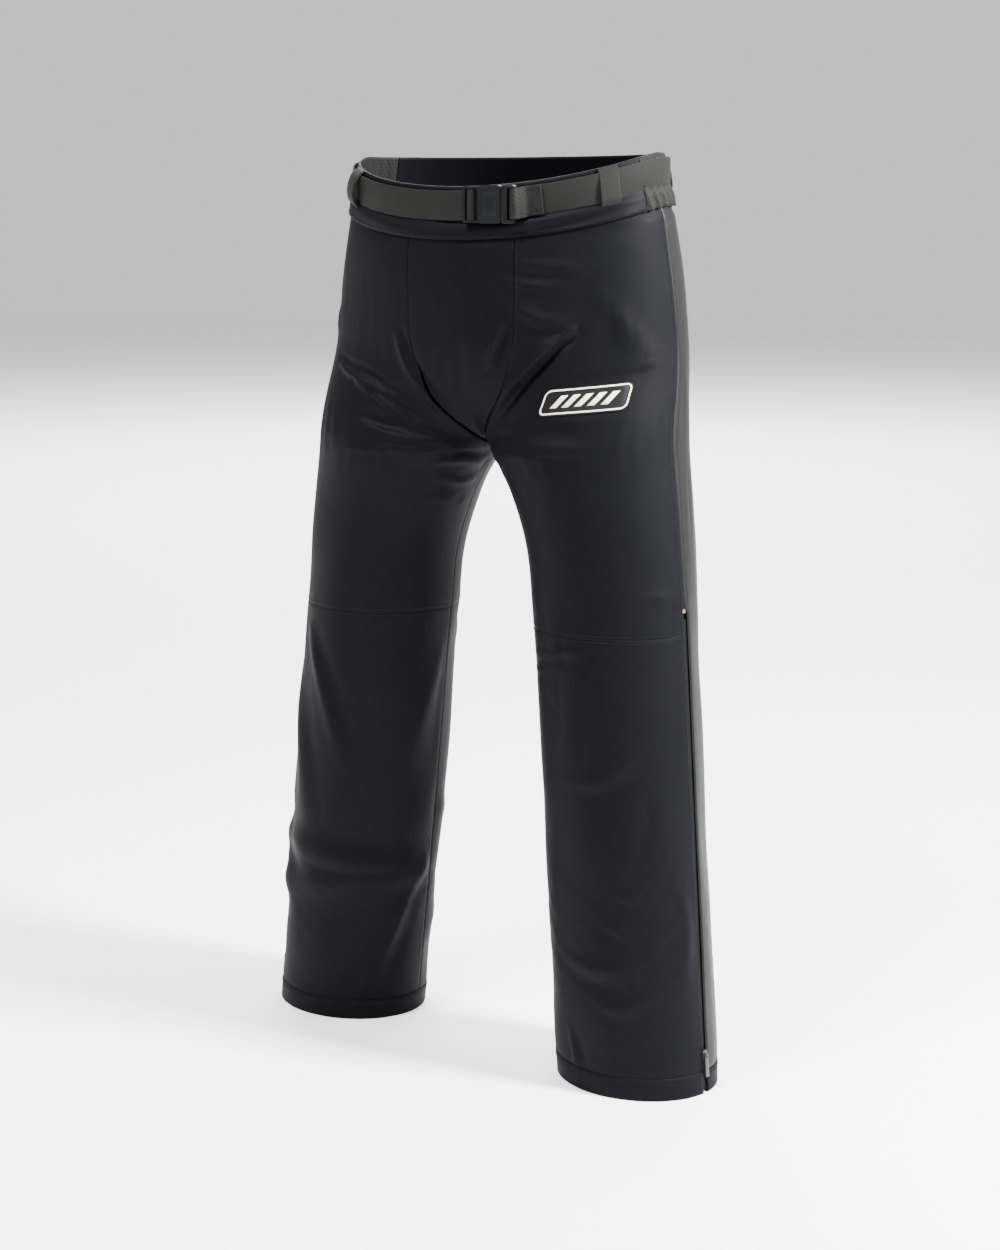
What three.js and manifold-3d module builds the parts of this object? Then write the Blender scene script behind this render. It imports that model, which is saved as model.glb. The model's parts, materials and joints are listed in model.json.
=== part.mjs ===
// Long ice and inline hockey pants, standing in their worn shape on both hems.
// Millimetres, +Z up, front towards -Y, wearer's left towards +X.
import * as THREE from 'three';
import { mergeVertices } from 'three/addons/utils/BufferGeometryUtils.js';
import Module from 'manifold-3d';

const wasm = await Module();
wasm.setup();

// ---- Driving dimensions -------------------------------------------------------------------

// Garment levels
const RIM_Z = 1037;            // top of the waistband at the back and sides
const FRONT_DIP = 37;          // how much lower the rim lies at centre front
const CROTCH_Z = 711;
const KNEE_Z = 515;            // knee seam across the front of each leg
const STRAIGHT_Z = 560;        // the legs are straight tubes up to this level
const HEM_HEIGHT = 25;
const WAISTBAND_HEIGHT = 58;

// Leg section, at the hem, at the end of the straight tube, and at the crotch
const LEG_INNER = [116, 62, 0];
const LEG_OUTER = [305, 252.5, 229];
const LEG_HALF_DEPTH = [80, 86, 103];
const LEG_SET_FORWARD = [50, 29, 22];
const STRIDE = [27, 10, 0];    // the left leg stands this far forward, the right this far back

// Hip section
const WAIST_HALF_WIDTH = 187;
const HIP_HALF_WIDTH = 227;
const WAIST_HALF_FRONT = 112;
const WAIST_HALF_BACK = 113;
const BELLY = 8;               // extra depth in front at hip level
const SEAT = 24;               // extra depth behind at hip level
const RISE_BLEND = 130;        // height over which two legs become one body

// Cloth and trim thicknesses
const CLOTH = 2.4;
const SEAM_GAP = 0.4;
const FIT_GAP = 0.35;

// Seam positions round a leg, in degrees from the inseam towards the front
const ZIP_SEAM = 169;
const BACK_SEAM = 211;
const FRONT_PANEL_HALF = 68;   // half width of the centre front panel
const FRONT_PANEL_STRAIGHT_Z = 850;

// Waistband sections, in degrees from centre front
const ELASTIC_FROM = 72;
const ELASTIC_TO = 112;

// Belt
const WEBBING_WIDTH = 32;
const WEBBING = 1.6;
const BELT_BELOW_RIM = 21;     // centre line of the belt below the rim
const BELT_CLEAR = 0.5;        // the belt's distance from the waistband
const LOOP_WIDTH = 30;
const LOOP_HEIGHT = 42;
const LOOP_CLOTH = 1.4;
const LOOP_CLEAR = 0.7;        // room in a loop round the belt
const LOOP_ANGLES = [55, -55, 120, -120, 180];
const LOOP_NAMES = ['front_left', 'front_right', 'back_left', 'back_right', 'back_centre'];

// Side-release buckle
const BUCKLE_ANGLE = 12;       // degrees from centre front towards the wearer's left
const BUCKLE_HEIGHT = 41;
const BUCKLE_DEPTH = 9.6;
const BUCKLE_WALL = 1.9;
const SOCKET_LENGTH = 25;
const FRAME_LENGTH = 20;       // ladder-lock frame beside the socket
const PLUG_LENGTH = 17;        // plug frame that stays outside the socket
const BUCKLE_STAND_OFF = 3.4;  // back of the buckle above the waistband
const BAR = 3.4;
const PLAY = 0.45;
const PRONG_LENGTH = 19;
const PRONG_WIDTH = 6.4;
const TONGUE_WIDTH = 9;
const WINDOW_FROM = 5;          // side windows of the socket, measured from its closed end
const WINDOW_TO = 15;
const WINDOW_REACH = 4.6;
const PLUG_SLOT = 5.5;          // slot that takes the sewn webbing
const FRAME_INSET = 2.4;        // ladder-lock frame behind the socket's face
const FRAME_BACK = 2;           // and in front of the socket's back
const STUB_LENGTH = 27;         // sewn end of the webbing beyond the plug
const STUB_LANDING = 9;         // where it comes down onto the belt

// Leg zips
const ZIP_BOTTOM = 6;
const ZIP_TOP = 547;
const ZIP_GAP = 8.4;           // opening between the cloth edges that the coil fills
const COIL_WIDTH = 6;
const COIL_DEPTH = 2;
const COIL_SINK = 1.6;         // top of the coil below the cloth's face
const STOP_LENGTH = 4.5;        // brass end stop at the top of each zip
const TAPE_WIDTH = 20;
const TAPE = 0.8;
const TAPE_SINK = 4.8;          // outer face of the tape below the cloth's outer face
const SLIDER_Z = 44;
const SLIDER_LENGTH = 11;
const SLIDER_WIDTH = 7.6;
const SLIDER_DEPTH = 2.4;
const SLIDER_ROUND = 2.4;
const LUG = 2.2;
const LUG_REACH = 2.6;
const LUG_HALF = 1.9;
const PIN_RADIUS = 0.55;
const PIN_REACH = 1.5;          // pin's axis above the slider's plate
const TAB_ABOVE_PIN = 1;
const TAB_LENGTH = 26;
const TAB_WIDTH = 6;
const TAB = 1.6;

// Pads and badge
const PAD_CLEAR = 1.3;
const HIP_PAD = { from: 135, to: 200, low: 772, high: 905, thick: 13 };
const THIGH_PAD = { from: 55, to: 132, low: 540, high: 702, thick: 11 };
const TAIL_PAD = { half: 26, low: 846, high: 940, thick: 14 };
const BADGE = { angle: 96, z: 771, width: 110, height: 34, tilt: 6, lift: 0.9, thick: 1.2 };

// ---- Small helpers ------------------------------------------------------------------------

const rad = THREE.MathUtils.degToRad;
const lerp = THREE.MathUtils.lerp;
const clamp = THREE.MathUtils.clamp;
const root = new THREE.Group();
const SIDES = [['left', 1], ['right', -1]];

function material(color, roughness, metalness = 0) {
  return new THREE.MeshStandardMaterial({ color, roughness, metalness });
}
const LOOK = {
  cloth: () => material(0x1f1e26, 0.62),
  sidePanel: () => material(0x2c2c33, 0.55),
  elastic: () => material(0x3a3a3c, 0.75),
  webbing: () => material(0x4a4a47, 0.8),
  plastic: () => material(0x141416, 0.32),
  zip: () => material(0x1a1a1d, 0.5),
  metal: () => material(0x6a6255, 0.35, 0.9),
  foam: () => material(0x2a2a2e, 0.85),
  badge: () => material(0xd8cfae, 0.7),
};

function addMesh(name, geometry, look, parent = root) {
  const mesh = new THREE.Mesh(geometry, look());
  mesh.name = name;
  parent.add(mesh);
  return mesh;
}

// A closed surface, turned so that its faces point outwards.
function closedGeometry(points, triangles) {
  const at = points.map((p) => new THREE.Vector3(...p));
  const normal = new THREE.Vector3();
  const volume = triangles.reduce((sum, [a, b, c]) => sum + at[a].dot(normal.crossVectors(at[b], at[c])), 0);
  const facing = volume > 0 ? triangles : triangles.map(([a, b, c]) => [a, c, b]);
  const geometry = new THREE.BufferGeometry();
  geometry.setAttribute('position', new THREE.Float32BufferAttribute(points.flat(), 3));
  geometry.setIndex(facing.flat());
  return geometry;
}

function toSolid(geometry) {
  const bare = geometry.clone();
  bare.deleteAttribute('normal');
  bare.deleteAttribute('uv');
  const merged = mergeVertices(bare, 1e-4);
  return new wasm.Manifold(new wasm.Mesh({
    numProp: 3,
    vertProperties: Float32Array.from(merged.attributes.position.array),
    triVerts: Uint32Array.from(merged.index.array),
  }));
}

function fromSolid(solid) {
  const mesh = solid.getMesh();
  const geometry = new THREE.BufferGeometry();
  const xyz = new Float32Array(mesh.numVert * 3);
  for (let i = 0; i < mesh.numVert; i += 1) {
    for (let k = 0; k < 3; k += 1) {
      xyz[3 * i + k] = mesh.vertProperties[mesh.numProp * i + k];
    }
  }
  geometry.setAttribute('position', new THREE.BufferAttribute(xyz, 3));
  geometry.setIndex(Array.from(mesh.triVerts));
  return geometry;
}

// A block given by its lowest and highest corners, with the edges along Y rounded.
function block(low, high, round = 0) {
  const [w, d, h] = [0, 1, 2].map((k) => high[k] - low[k]);
  if (round === 0) {
    const box = new THREE.BoxGeometry(w, d, h);
    return box.translate(low[0] + w / 2, low[1] + d / 2, low[2] + h / 2);
  }
  const r = Math.min(round, w / 2.01, h / 2.01);
  const shape = new THREE.Shape();
  shape.moveTo(r, 0);
  shape.lineTo(w - r, 0);
  shape.absarc(w - r, r, r, -Math.PI / 2, 0, false);
  shape.absarc(w - r, h - r, r, 0, Math.PI / 2, false);
  shape.absarc(r, h - r, r, Math.PI / 2, Math.PI, false);
  shape.absarc(r, r, r, Math.PI, 1.5 * Math.PI, false);
  const extruded = new THREE.ExtrudeGeometry(shape, { depth: d, bevelEnabled: false, curveSegments: 3 });
  extruded.rotateX(Math.PI / 2);
  return extruded.translate(low[0], low[1] + d, low[2]);
}

// ---- The garment's surface ----------------------------------------------------------------

// A value given at the hem, at the end of the straight tube and at the crotch.
function along(values, z) {
  const [hem, thigh, crotch] = values;
  if (z <= STRAIGHT_Z) return lerp(hem, thigh, z / STRAIGHT_Z);
  const span = CROTCH_Z - STRAIGHT_Z;
  const t = clamp((z - STRAIGHT_Z) / span, 0, 1);
  const slope = (thigh - hem) / STRAIGHT_Z * span;
  return thigh + slope * t + (crotch - thigh - slope) * t * t;
}

function legPoint(side, angle, z) {
  const inner = along(LEG_INNER, z);
  const outer = along(LEG_OUTER, z);
  const depth = along(LEG_HALF_DEPTH, z);
  const forward = along(LEG_SET_FORWARD, z) + side * along(STRIDE, z);
  const half = (outer - inner) / 2;
  const x = inner + half - half * Math.cos(rad(angle));
  return [side * x, -forward - depth * Math.sin(rad(angle)), z];
}

function rimZ(waistAngle) {
  return RIM_Z - FRONT_DIP * Math.max(0, Math.cos(rad(waistAngle))) ** 1.5;
}

// A point of the hip's oval, by its angle from centre front towards the wearer's left.
function hipPoint(waistAngle, z) {
  const t = clamp((z - CROTCH_Z) / (RIM_Z - CROTCH_Z), 0, 1);
  const width = lerp(HIP_HALF_WIDTH, WAIST_HALF_WIDTH, t ** 1.7);
  const swell = Math.sin(Math.PI * (1 - t));
  const front = WAIST_HALF_FRONT + BELLY * swell;
  const back = WAIST_HALF_BACK + SEAT * swell;
  const c = Math.cos(rad(waistAngle));
  return [width * Math.sin(rad(waistAngle)), -(c > 0 ? front : back) * c, z];
}

// One half of the garment: the angle runs from the inseam or centre front (0) round the
// outside (180) to the inseam or centre back (360).
function halfPoint(side, angle, z) {
  const leg = legPoint(side, angle, Math.min(z, CROTCH_Z));
  if (z <= CROTCH_Z) return leg;
  const s = clamp((z - CROTCH_Z) / RISE_BLEND, 0, 1);
  const round = Math.sqrt(1 - (1 - s) ** 2);
  const inward = ((1 + Math.cos(rad(angle))) / 2) ** 2;
  const blend = lerp(s * s * (3 - 2 * s), round, inward);
  const hip = hipPoint(side * angle / 2, z);
  return [lerp(leg[0], hip[0], blend), lerp(leg[1], hip[1], blend), z];
}

function outward(pointAt, a, z, side) {
  const da = 0.5;
  const dz = 1.5;
  const u0 = new THREE.Vector3(...pointAt(a - da, z));
  const u1 = new THREE.Vector3(...pointAt(a + da, z));
  const v0 = new THREE.Vector3(...pointAt(a, z - dz));
  const v1 = new THREE.Vector3(...pointAt(a, z + dz));
  return u1.sub(u0).cross(v1.sub(v0)).multiplyScalar(side).normalize();
}

// Outward normal of a half. It lies in the middle plane where the two halves meet, and
// level at the hem and the rim, so that edges there stay flat.
function halfNormal(side, angle, z) {
  const a = clamp(angle, 0.6, 359.4);
  const n = outward((u, v) => halfPoint(side, u, v), a, z, side);
  const onCentre = (angle < 1 || angle > 359) && z > CROTCH_Z;
  if (onCentre) n.x = 0;
  if (z < HEM_HEIGHT || z > CROTCH_Z + RISE_BLEND) n.z = 0;
  return n.normalize();
}

function shifted(point, normal, distance) {
  return [0, 1, 2].map((k) => point[k] + normal.getComponent(k) * distance);
}

// How many degrees of a half make this many millimetres at this place.
function degreesFor(side, angle, z, length) {
  const p = new THREE.Vector3(...halfPoint(side, angle - 0.5, z));
  const q = new THREE.Vector3(...halfPoint(side, angle + 0.5, z));
  return length / p.distanceTo(q);
}

// ---- Panels -------------------------------------------------------------------------------

// A closed solid from two grids of points, the outer face and the inner face.
function slab(outer, inner) {
  const rows = outer.length;
  const cols = outer[0].length;
  const points = [...outer.flat(), ...inner.flat()];
  const id = (layer, r, c) => layer * rows * cols + r * cols + c;
  const triangles = [];
  const quad = (a, b, c, d) => {
    triangles.push([a, b, c]);
    triangles.push([a, c, d]);
  };
  for (let r = 0; r < rows - 1; r += 1) {
    for (let c = 0; c < cols - 1; c += 1) {
      quad(id(0, r, c), id(0, r, c + 1), id(0, r + 1, c + 1), id(0, r + 1, c));
      quad(id(1, r, c), id(1, r + 1, c), id(1, r + 1, c + 1), id(1, r, c + 1));
    }
    quad(id(0, r, 0), id(0, r + 1, 0), id(1, r + 1, 0), id(1, r, 0));
    quad(id(0, r, cols - 1), id(1, r, cols - 1), id(1, r + 1, cols - 1), id(0, r + 1, cols - 1));
  }
  for (let c = 0; c < cols - 1; c += 1) {
    quad(id(0, 0, c), id(1, 0, c), id(1, 0, c + 1), id(0, 0, c + 1));
    quad(id(0, rows - 1, c), id(0, rows - 1, c + 1), id(1, rows - 1, c + 1), id(1, rows - 1, c));
  }
  return closedGeometry(points, triangles);
}

// The level of a seam tier's top edge: the underside of the waistband.
function waistbandBottom(side, angle) {
  return rimZ(side * angle / 2) - WAISTBAND_HEIGHT;
}

// Levels of the rows in a panel, from a low level to the waistband or to a fixed level.
const RISE_STEPS = [0, 3, 9, 20, 36, 60, 92, 130];
const UPPER_SHARES = [0.25, 0.5, 0.75, 1];
function rowsBetween(low, high) {
  const levels = [low];
  const marks = [ZIP_TOP + 3, ZIP_TOP + 8, STRAIGHT_Z + 50, STRAIGHT_Z + 100, STRAIGHT_Z + 130];
  marks.push(...RISE_STEPS.map((step) => CROTCH_Z + step));
  for (let z = 120; z < STRAIGHT_Z; z += 115) marks.push(z);
  marks.sort((p, q) => p - q);
  for (const mark of marks) {
    const last = levels[levels.length - 1];
    if (mark > last + 1.5 && mark < high - 12) levels.push(mark);
  }
  levels.push(high);
  return levels;
}

// A panel of one half. edgeFrom and edgeTo give the seam lines' angles by level, and the
// top is either a level or the waistband's lower edge.
function panel(name, side, look, opts) {
  const { edgeFrom, edgeTo, low, high, cols, insetFrom = SEAM_GAP / 2, insetTo = SEAM_GAP / 2 } = opts;
  const toWaist = high === undefined;
  const flatTop = CROTCH_Z + RISE_BLEND;
  const levels = rowsBetween(low + SEAM_GAP / 2, toWaist ? flatTop + 40 : high - SEAM_GAP / 2);
  const fractions = levels.map((z) => ({ z, share: 0 }));
  if (toWaist) {
    fractions.pop();
    for (const share of UPPER_SHARES) fractions.push({ z: flatTop, share });
  }
  const outer = [];
  const inner = [];
  for (const { z: base, share } of fractions) {
    const level = (angle) => lerp(base, waistbandBottom(side, angle) - SEAM_GAP / 2, share);
    const a0 = edgeFrom(side, base);
    const a1 = edgeTo(side, base);
    const fromEdge = typeof insetFrom === 'function' ? insetFrom(base) : insetFrom;
    const toEdge = typeof insetTo === 'function' ? insetTo(base) : insetTo;
    const from = a0 + degreesFor(side, a0, base, fromEdge);
    const to = a1 - degreesFor(side, a1, base, toEdge);
    const outerRow = [];
    const innerRow = [];
    for (let c = 0; c <= cols; c += 1) {
      const angle = lerp(from, to, c / cols);
      const z = level(angle);
      const p = halfPoint(side, angle, z);
      const n = halfNormal(side, angle, z);
      outerRow.push(p);
      innerRow.push(shifted(p, n, -CLOTH));
    }
    outer.push(outerRow);
    inner.push(innerRow);
  }
  addMesh(name, slab(outer, inner), look);
}

const ZIP_EDGE = ZIP_GAP / 2;
function zipInset(z) {
  return z < ZIP_TOP + 5 ? ZIP_EDGE : SEAM_GAP / 2;
}

// Edge of the centre front panel: straight from the waistband, then sweeping in to the crotch.
const POINT_Z = CROTCH_Z + 9;
function centreEdge(side, z) {
  if (z <= POINT_Z) return 0;
  const t = clamp((z - POINT_Z) / (FRONT_PANEL_STRAIGHT_Z - POINT_Z), 0, 1);
  const width = FRONT_PANEL_HALF * Math.sin(t * Math.PI / 2) ** 0.8;
  return degreesFor(side, 12, Math.max(z, CROTCH_Z + 60), width);
}

for (const [label, side] of SIDES) {
  panel(`shin_panel_${label}`, side, LOOK.cloth, {
    edgeFrom: () => 0,
    edgeTo: () => ZIP_SEAM,
    low: HEM_HEIGHT,
    high: KNEE_Z,
    cols: 12,
    insetTo: zipInset,
  });
  panel(`thigh_panel_${label}`, side, LOOK.cloth, {
    edgeFrom: centreEdge,
    edgeTo: () => ZIP_SEAM,
    low: KNEE_Z,
    cols: 12,
    insetTo: zipInset,
  });
  panel(`side_panel_${label}`, side, LOOK.sidePanel, {
    edgeFrom: () => ZIP_SEAM,
    edgeTo: () => BACK_SEAM,
    low: HEM_HEIGHT,
    cols: 4,
    insetFrom: zipInset,
  });
  panel(`calf_panel_${label}`, side, LOOK.cloth, {
    edgeFrom: () => BACK_SEAM,
    edgeTo: () => 360,
    low: HEM_HEIGHT,
    high: KNEE_Z,
    cols: 12,
  });
  panel(`seat_panel_${label}`, side, LOOK.cloth, {
    edgeFrom: () => BACK_SEAM,
    edgeTo: () => 360,
    low: KNEE_Z,
    cols: 12,
  });
}

// The centre front panel spans both halves, from the crotch to the waistband.
{
  const levels = RISE_STEPS.slice(3).map((step) => CROTCH_Z + step);
  levels.unshift(CROTCH_Z + 14);
  const outer = [];
  const inner = [];
  const cols = 8;
  const rows = levels.map((z) => ({ z, share: 0 }));
  for (const share of UPPER_SHARES) rows.push({ z: levels.at(-1), share });
  for (const { z: base, share } of rows) {
    const edge = centreEdge(1, base) - degreesFor(1, 1, base, SEAM_GAP / 2);
    const outerRow = [];
    const innerRow = [];
    for (let c = 0; c <= cols; c += 1) {
      const signed = lerp(-edge, edge, c / cols);
      const side = signed < 0 ? -1 : 1;
      const angle = Math.abs(signed);
      const z = lerp(base, waistbandBottom(side, angle) - SEAM_GAP / 2, share);
      const p = halfPoint(side, angle, z);
      const n = halfNormal(side, angle, z);
      outerRow.push(p);
      innerRow.push(shifted(p, n, -CLOTH));
    }
    outer.push(outerRow);
    inner.push(innerRow);
  }
  addMesh('centre_front_panel', slab(outer, inner), LOOK.cloth);
}

// ---- Strips that follow the surface -------------------------------------------------------

// Sweeps a closed section along a line on the surface. Each section point is an offset
// outwards and a height above the line.
function sweep(name, look, section, stations, placeAt) {
  const rings = stations.map((s) => section.map(([offset, dz]) => placeAt(s, offset, dz)));
  const n = section.length;
  const points = rings.flat();
  const triangles = [];
  for (let r = 0; r < rings.length - 1; r += 1) {
    const next = r + 1;
    for (let k = 0; k < n; k += 1) {
      const k1 = (k + 1) % n;
      triangles.push([r * n + k, next * n + k, next * n + k1], [r * n + k, next * n + k1, r * n + k1]);
    }
  }
  const flat = section.map(([offset, dz]) => new THREE.Vector2(offset, dz));
  const end = (rings.length - 1) * n;
  const turned = THREE.ShapeUtils.isClockWise(flat);
  for (const [a, b, c] of THREE.ShapeUtils.triangulateShape(flat, [])) {
    const corners = [flat[a], flat[b], flat[c]];
    const [p, q, r] = THREE.ShapeUtils.isClockWise(corners) === turned ? [a, b, c] : [a, c, b];
    triangles.push([p, q, r], [end + p, end + r, end + q]);
  }
  return addMesh(name, closedGeometry(points, triangles), look);
}

// A place on the hip's oval, offset outwards, at a height measured along the surface.
function onHip(centreZ) {
  return (waistAngle, offset, dz) => {
    const z = centreZ(waistAngle) + dz;
    const p = hipPoint(waistAngle, z);
    const n = outward(hipPoint, waistAngle, z, 1);
    n.z = 0;
    n.normalize();
    return [p[0] + n.x * offset, p[1] + n.y * offset, z];
  };
}

function angles(from, to, step) {
  const count = Math.max(1, Math.round(Math.abs(to - from) / step));
  return Array.from({ length: count + 1 }, (_, i) => lerp(from, to, i / count));
}

function rectangle(inside, outside, low, high) {
  return [[inside, low], [inside, high], [outside, high], [outside, low]];
}

function hipDegrees(waistAngle, z, length) {
  const p = new THREE.Vector3(...hipPoint(waistAngle - 0.5, z));
  const q = new THREE.Vector3(...hipPoint(waistAngle + 0.5, z));
  return length / p.distanceTo(q);
}

// Waistband: front, a gathered elastic section at each side, and back.
const bandGap = hipDegrees(ELASTIC_FROM, RIM_Z, SEAM_GAP / 2);
const BAND_STEP = 6;
const bandSection = rectangle(-CLOTH, 0, -WAISTBAND_HEIGHT, 0);
function band(name, look, from, to, section = bandSection) {
  sweep(name, look, section, angles(from + bandGap, to - bandGap, BAND_STEP), onHip(rimZ));
}
band('waistband_front', LOOK.cloth, -ELASTIC_FROM, ELASTIC_FROM);
band('waistband_back', LOOK.cloth, ELASTIC_TO, 360 - ELASTIC_TO);
band('side_elastic_left', LOOK.elastic, ELASTIC_FROM, ELASTIC_TO);
band('side_elastic_right', LOOK.elastic, -ELASTIC_TO, -ELASTIC_FROM);

// Hem bands: open at the zip, round the rest of each leg.
for (const [label, side] of SIDES) {
  const gap = degreesFor(side, ZIP_SEAM, 0, ZIP_EDGE);
  const place = (angle, offset, dz) => {
    const p = halfPoint(side, angle, dz);
    const n = halfNormal(side, angle, dz);
    return [p[0] + n.x * offset, p[1] + n.y * offset, dz];
  };
  const stations = angles(ZIP_SEAM + gap, ZIP_SEAM + 360 - gap, 15);
  const section = rectangle(-CLOTH, 0, 0, HEM_HEIGHT - SEAM_GAP / 2);
  if (side < 0) stations.reverse();
  const wrapped = stations.map((angle) => angle % 360);
  sweep(`hem_${label}`, LOOK.cloth, section, wrapped, place);
}

// ---- Belt ---------------------------------------------------------------------------------

const beltZ = (waistAngle) => rimZ(waistAngle) - BELT_BELOW_RIM;
const BELT_OUT = BELT_CLEAR + WEBBING;
const buckleAt = new THREE.Vector3(...onHip(beltZ)(BUCKLE_ANGLE, 0, 0));
const degreesPerMm = hipDegrees(BUCKLE_ANGLE, beltZ(BUCKLE_ANGLE), 1);
const buckleHalf = (SOCKET_LENGTH + FRAME_LENGTH + PLUG_LENGTH) / 2;
const beltFrom = BUCKLE_ANGLE + (buckleHalf - BAR - 2) * degreesPerMm;
const beltTo = BUCKLE_ANGLE + 360 - (buckleHalf - BAR - 2) * degreesPerMm;
sweep(
  'belt_webbing',
  LOOK.webbing,
  rectangle(BELT_CLEAR, BELT_OUT, -WEBBING_WIDTH / 2, WEBBING_WIDTH / 2),
  angles(beltFrom, beltTo, BAND_STEP),
  onHip(beltZ),
);

// Belt loops: a cloth strap over the belt, sewn down above and below it.
const loopIn = BELT_OUT + LOOP_CLEAR;
const loopOut = loopIn + LOOP_CLOTH;
const loopHalf = LOOP_HEIGHT / 2;
const loopRoom = WEBBING_WIDTH / 2 + LOOP_CLEAR;
const loopSection = [
  [FIT_GAP, -loopHalf],
  [FIT_GAP, -loopRoom],
  [loopIn, -loopRoom],
  [loopIn, loopRoom],
  [FIT_GAP, loopRoom],
  [FIT_GAP, loopHalf],
  [loopOut, loopHalf],
  [loopOut, -loopHalf],
];
LOOP_ANGLES.forEach((angle, i) => {
  const spread = hipDegrees(angle, beltZ(angle), LOOP_WIDTH / 2);
  const stations = angles(angle - spread, angle + spread, 4);
  sweep(`belt_loop_${LOOP_NAMES[i]}`, LOOK.elastic, loopSection, stations, onHip(beltZ));
});

// ---- Buckle -------------------------------------------------------------------------------

// The buckle's own frame: +X along the belt towards the wearer's left, +Z up, -Y outwards.
const buckle = new THREE.Group();
const buckleNormal = outward(hipPoint, BUCKLE_ANGLE, beltZ(BUCKLE_ANGLE), 1).setZ(0).normalize();
buckle.position.copy(buckleAt).addScaledVector(buckleNormal, BUCKLE_STAND_OFF);
buckle.rotation.z = Math.atan2(buckleNormal.x, -buckleNormal.y);
root.add(buckle);

const frameEnd = -buckleHalf;
const socketStart = frameEnd + FRAME_LENGTH;
const socketEnd = socketStart + SOCKET_LENGTH;
const plugEnd = buckleHalf;
const tall = BUCKLE_HEIGHT / 2;
const inTall = tall - BUCKLE_WALL;
const slotTall = WEBBING_WIDTH / 2 + 0.8;
const frameDepth = [-BUCKLE_DEPTH + FRAME_INSET, -FRAME_BACK];

// Socket: a flat tube that the plug slides into, with side windows and a ladder-lock frame.
{
  let solid = toSolid(block([socketStart, -BUCKLE_DEPTH, -tall], [socketEnd, 0, tall], 3));
  const cavity = block(
    [socketStart + BUCKLE_WALL, -BUCKLE_DEPTH + BUCKLE_WALL, -inTall],
    [socketEnd + 1, -BUCKLE_WALL, inTall],
  );
  solid = solid.subtract(toSolid(cavity));
  for (const up of [1, -1]) {
    const z0 = up > 0 ? tall - WINDOW_REACH : -tall - 1;
    const z1 = up > 0 ? tall + 1 : -tall + WINDOW_REACH;
    const windowLow = [socketStart + WINDOW_FROM, -BUCKLE_DEPTH + BUCKLE_WALL, z0];
    const windowHigh = [socketStart + WINDOW_TO, -BUCKLE_WALL, z1];
    solid = solid.subtract(toSolid(block(windowLow, windowHigh)));
  }
  const rails = block([frameEnd, frameDepth[0], -tall + 1], [socketStart + 1, frameDepth[1], tall - 1], 2.5);
  let frame = toSolid(rails);
  const slot = (FRAME_LENGTH - 2 * BAR) / 2 - 1.2;
  for (const i of [0, 1]) {
    const x = frameEnd + BAR + i * (slot + BAR * 0.8);
    frame = frame.subtract(toSolid(block([x, -BUCKLE_DEPTH - 1, -slotTall], [x + slot, 1, slotTall])));
  }
  addMesh('buckle_socket', fromSolid(solid.add(frame)), LOOK.plastic, buckle);
}

// Plug: a frame with a slot for the sewn webbing and a centre tongue.
const tongueDepth = [-BUCKLE_DEPTH + BUCKLE_WALL + PLAY, -BUCKLE_WALL - PLAY];
const plugStart = socketEnd + PLAY;
const prongRoot = plugStart - 0.3;
{
  let solid = toSolid(block([plugStart, -BUCKLE_DEPTH + 0.6, -tall], [plugEnd, -0.6, tall], 4));
  const slotX = plugEnd - BAR - PLUG_SLOT;
  solid = solid.subtract(toSolid(block([slotX, -BUCKLE_DEPTH, -slotTall], [plugEnd - BAR, 1, slotTall])));
  const tongue = block(
    [socketStart + BUCKLE_WALL + 3, tongueDepth[0], -TONGUE_WIDTH / 2],
    [plugStart + 1, tongueDepth[1], TONGUE_WIDTH / 2],
    2,
  );
  solid = solid.add(toSolid(tongue));
  addMesh('buckle_plug', fromSolid(solid), LOOK.plastic, buckle);
}

// Prongs: two springy arms beside the tongue, each with a thumb pad that fills a window.
for (const [label, up] of [['upper', 1], ['lower', -1]]) {
  const arm = new THREE.Shape();
  const rootX = prongRoot;
  const tipX = rootX - PRONG_LENGTH;
  const outerZ = inTall - PLAY;
  const innerZ = outerZ - PRONG_WIDTH;
  arm.moveTo(rootX, innerZ + 1.6);
  arm.lineTo(rootX, outerZ);
  arm.lineTo(tipX + 2.5, outerZ);
  arm.quadraticCurveTo(tipX, outerZ, tipX, outerZ - 2.5);
  arm.lineTo(tipX, innerZ + 1);
  arm.lineTo(tipX + 5, innerZ);
  const options = { depth: tongueDepth[1] - tongueDepth[0], bevelEnabled: false, curveSegments: 4 };
  const extruded = new THREE.ExtrudeGeometry(arm, options);
  extruded.rotateX(Math.PI / 2);
  extruded.translate(0, tongueDepth[1], 0);
  if (up < 0) extruded.rotateX(Math.PI).translate(0, tongueDepth[0] + tongueDepth[1], 0);
  addMesh(`buckle_prong_${label}`, extruded, LOOK.plastic, buckle);
}

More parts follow.
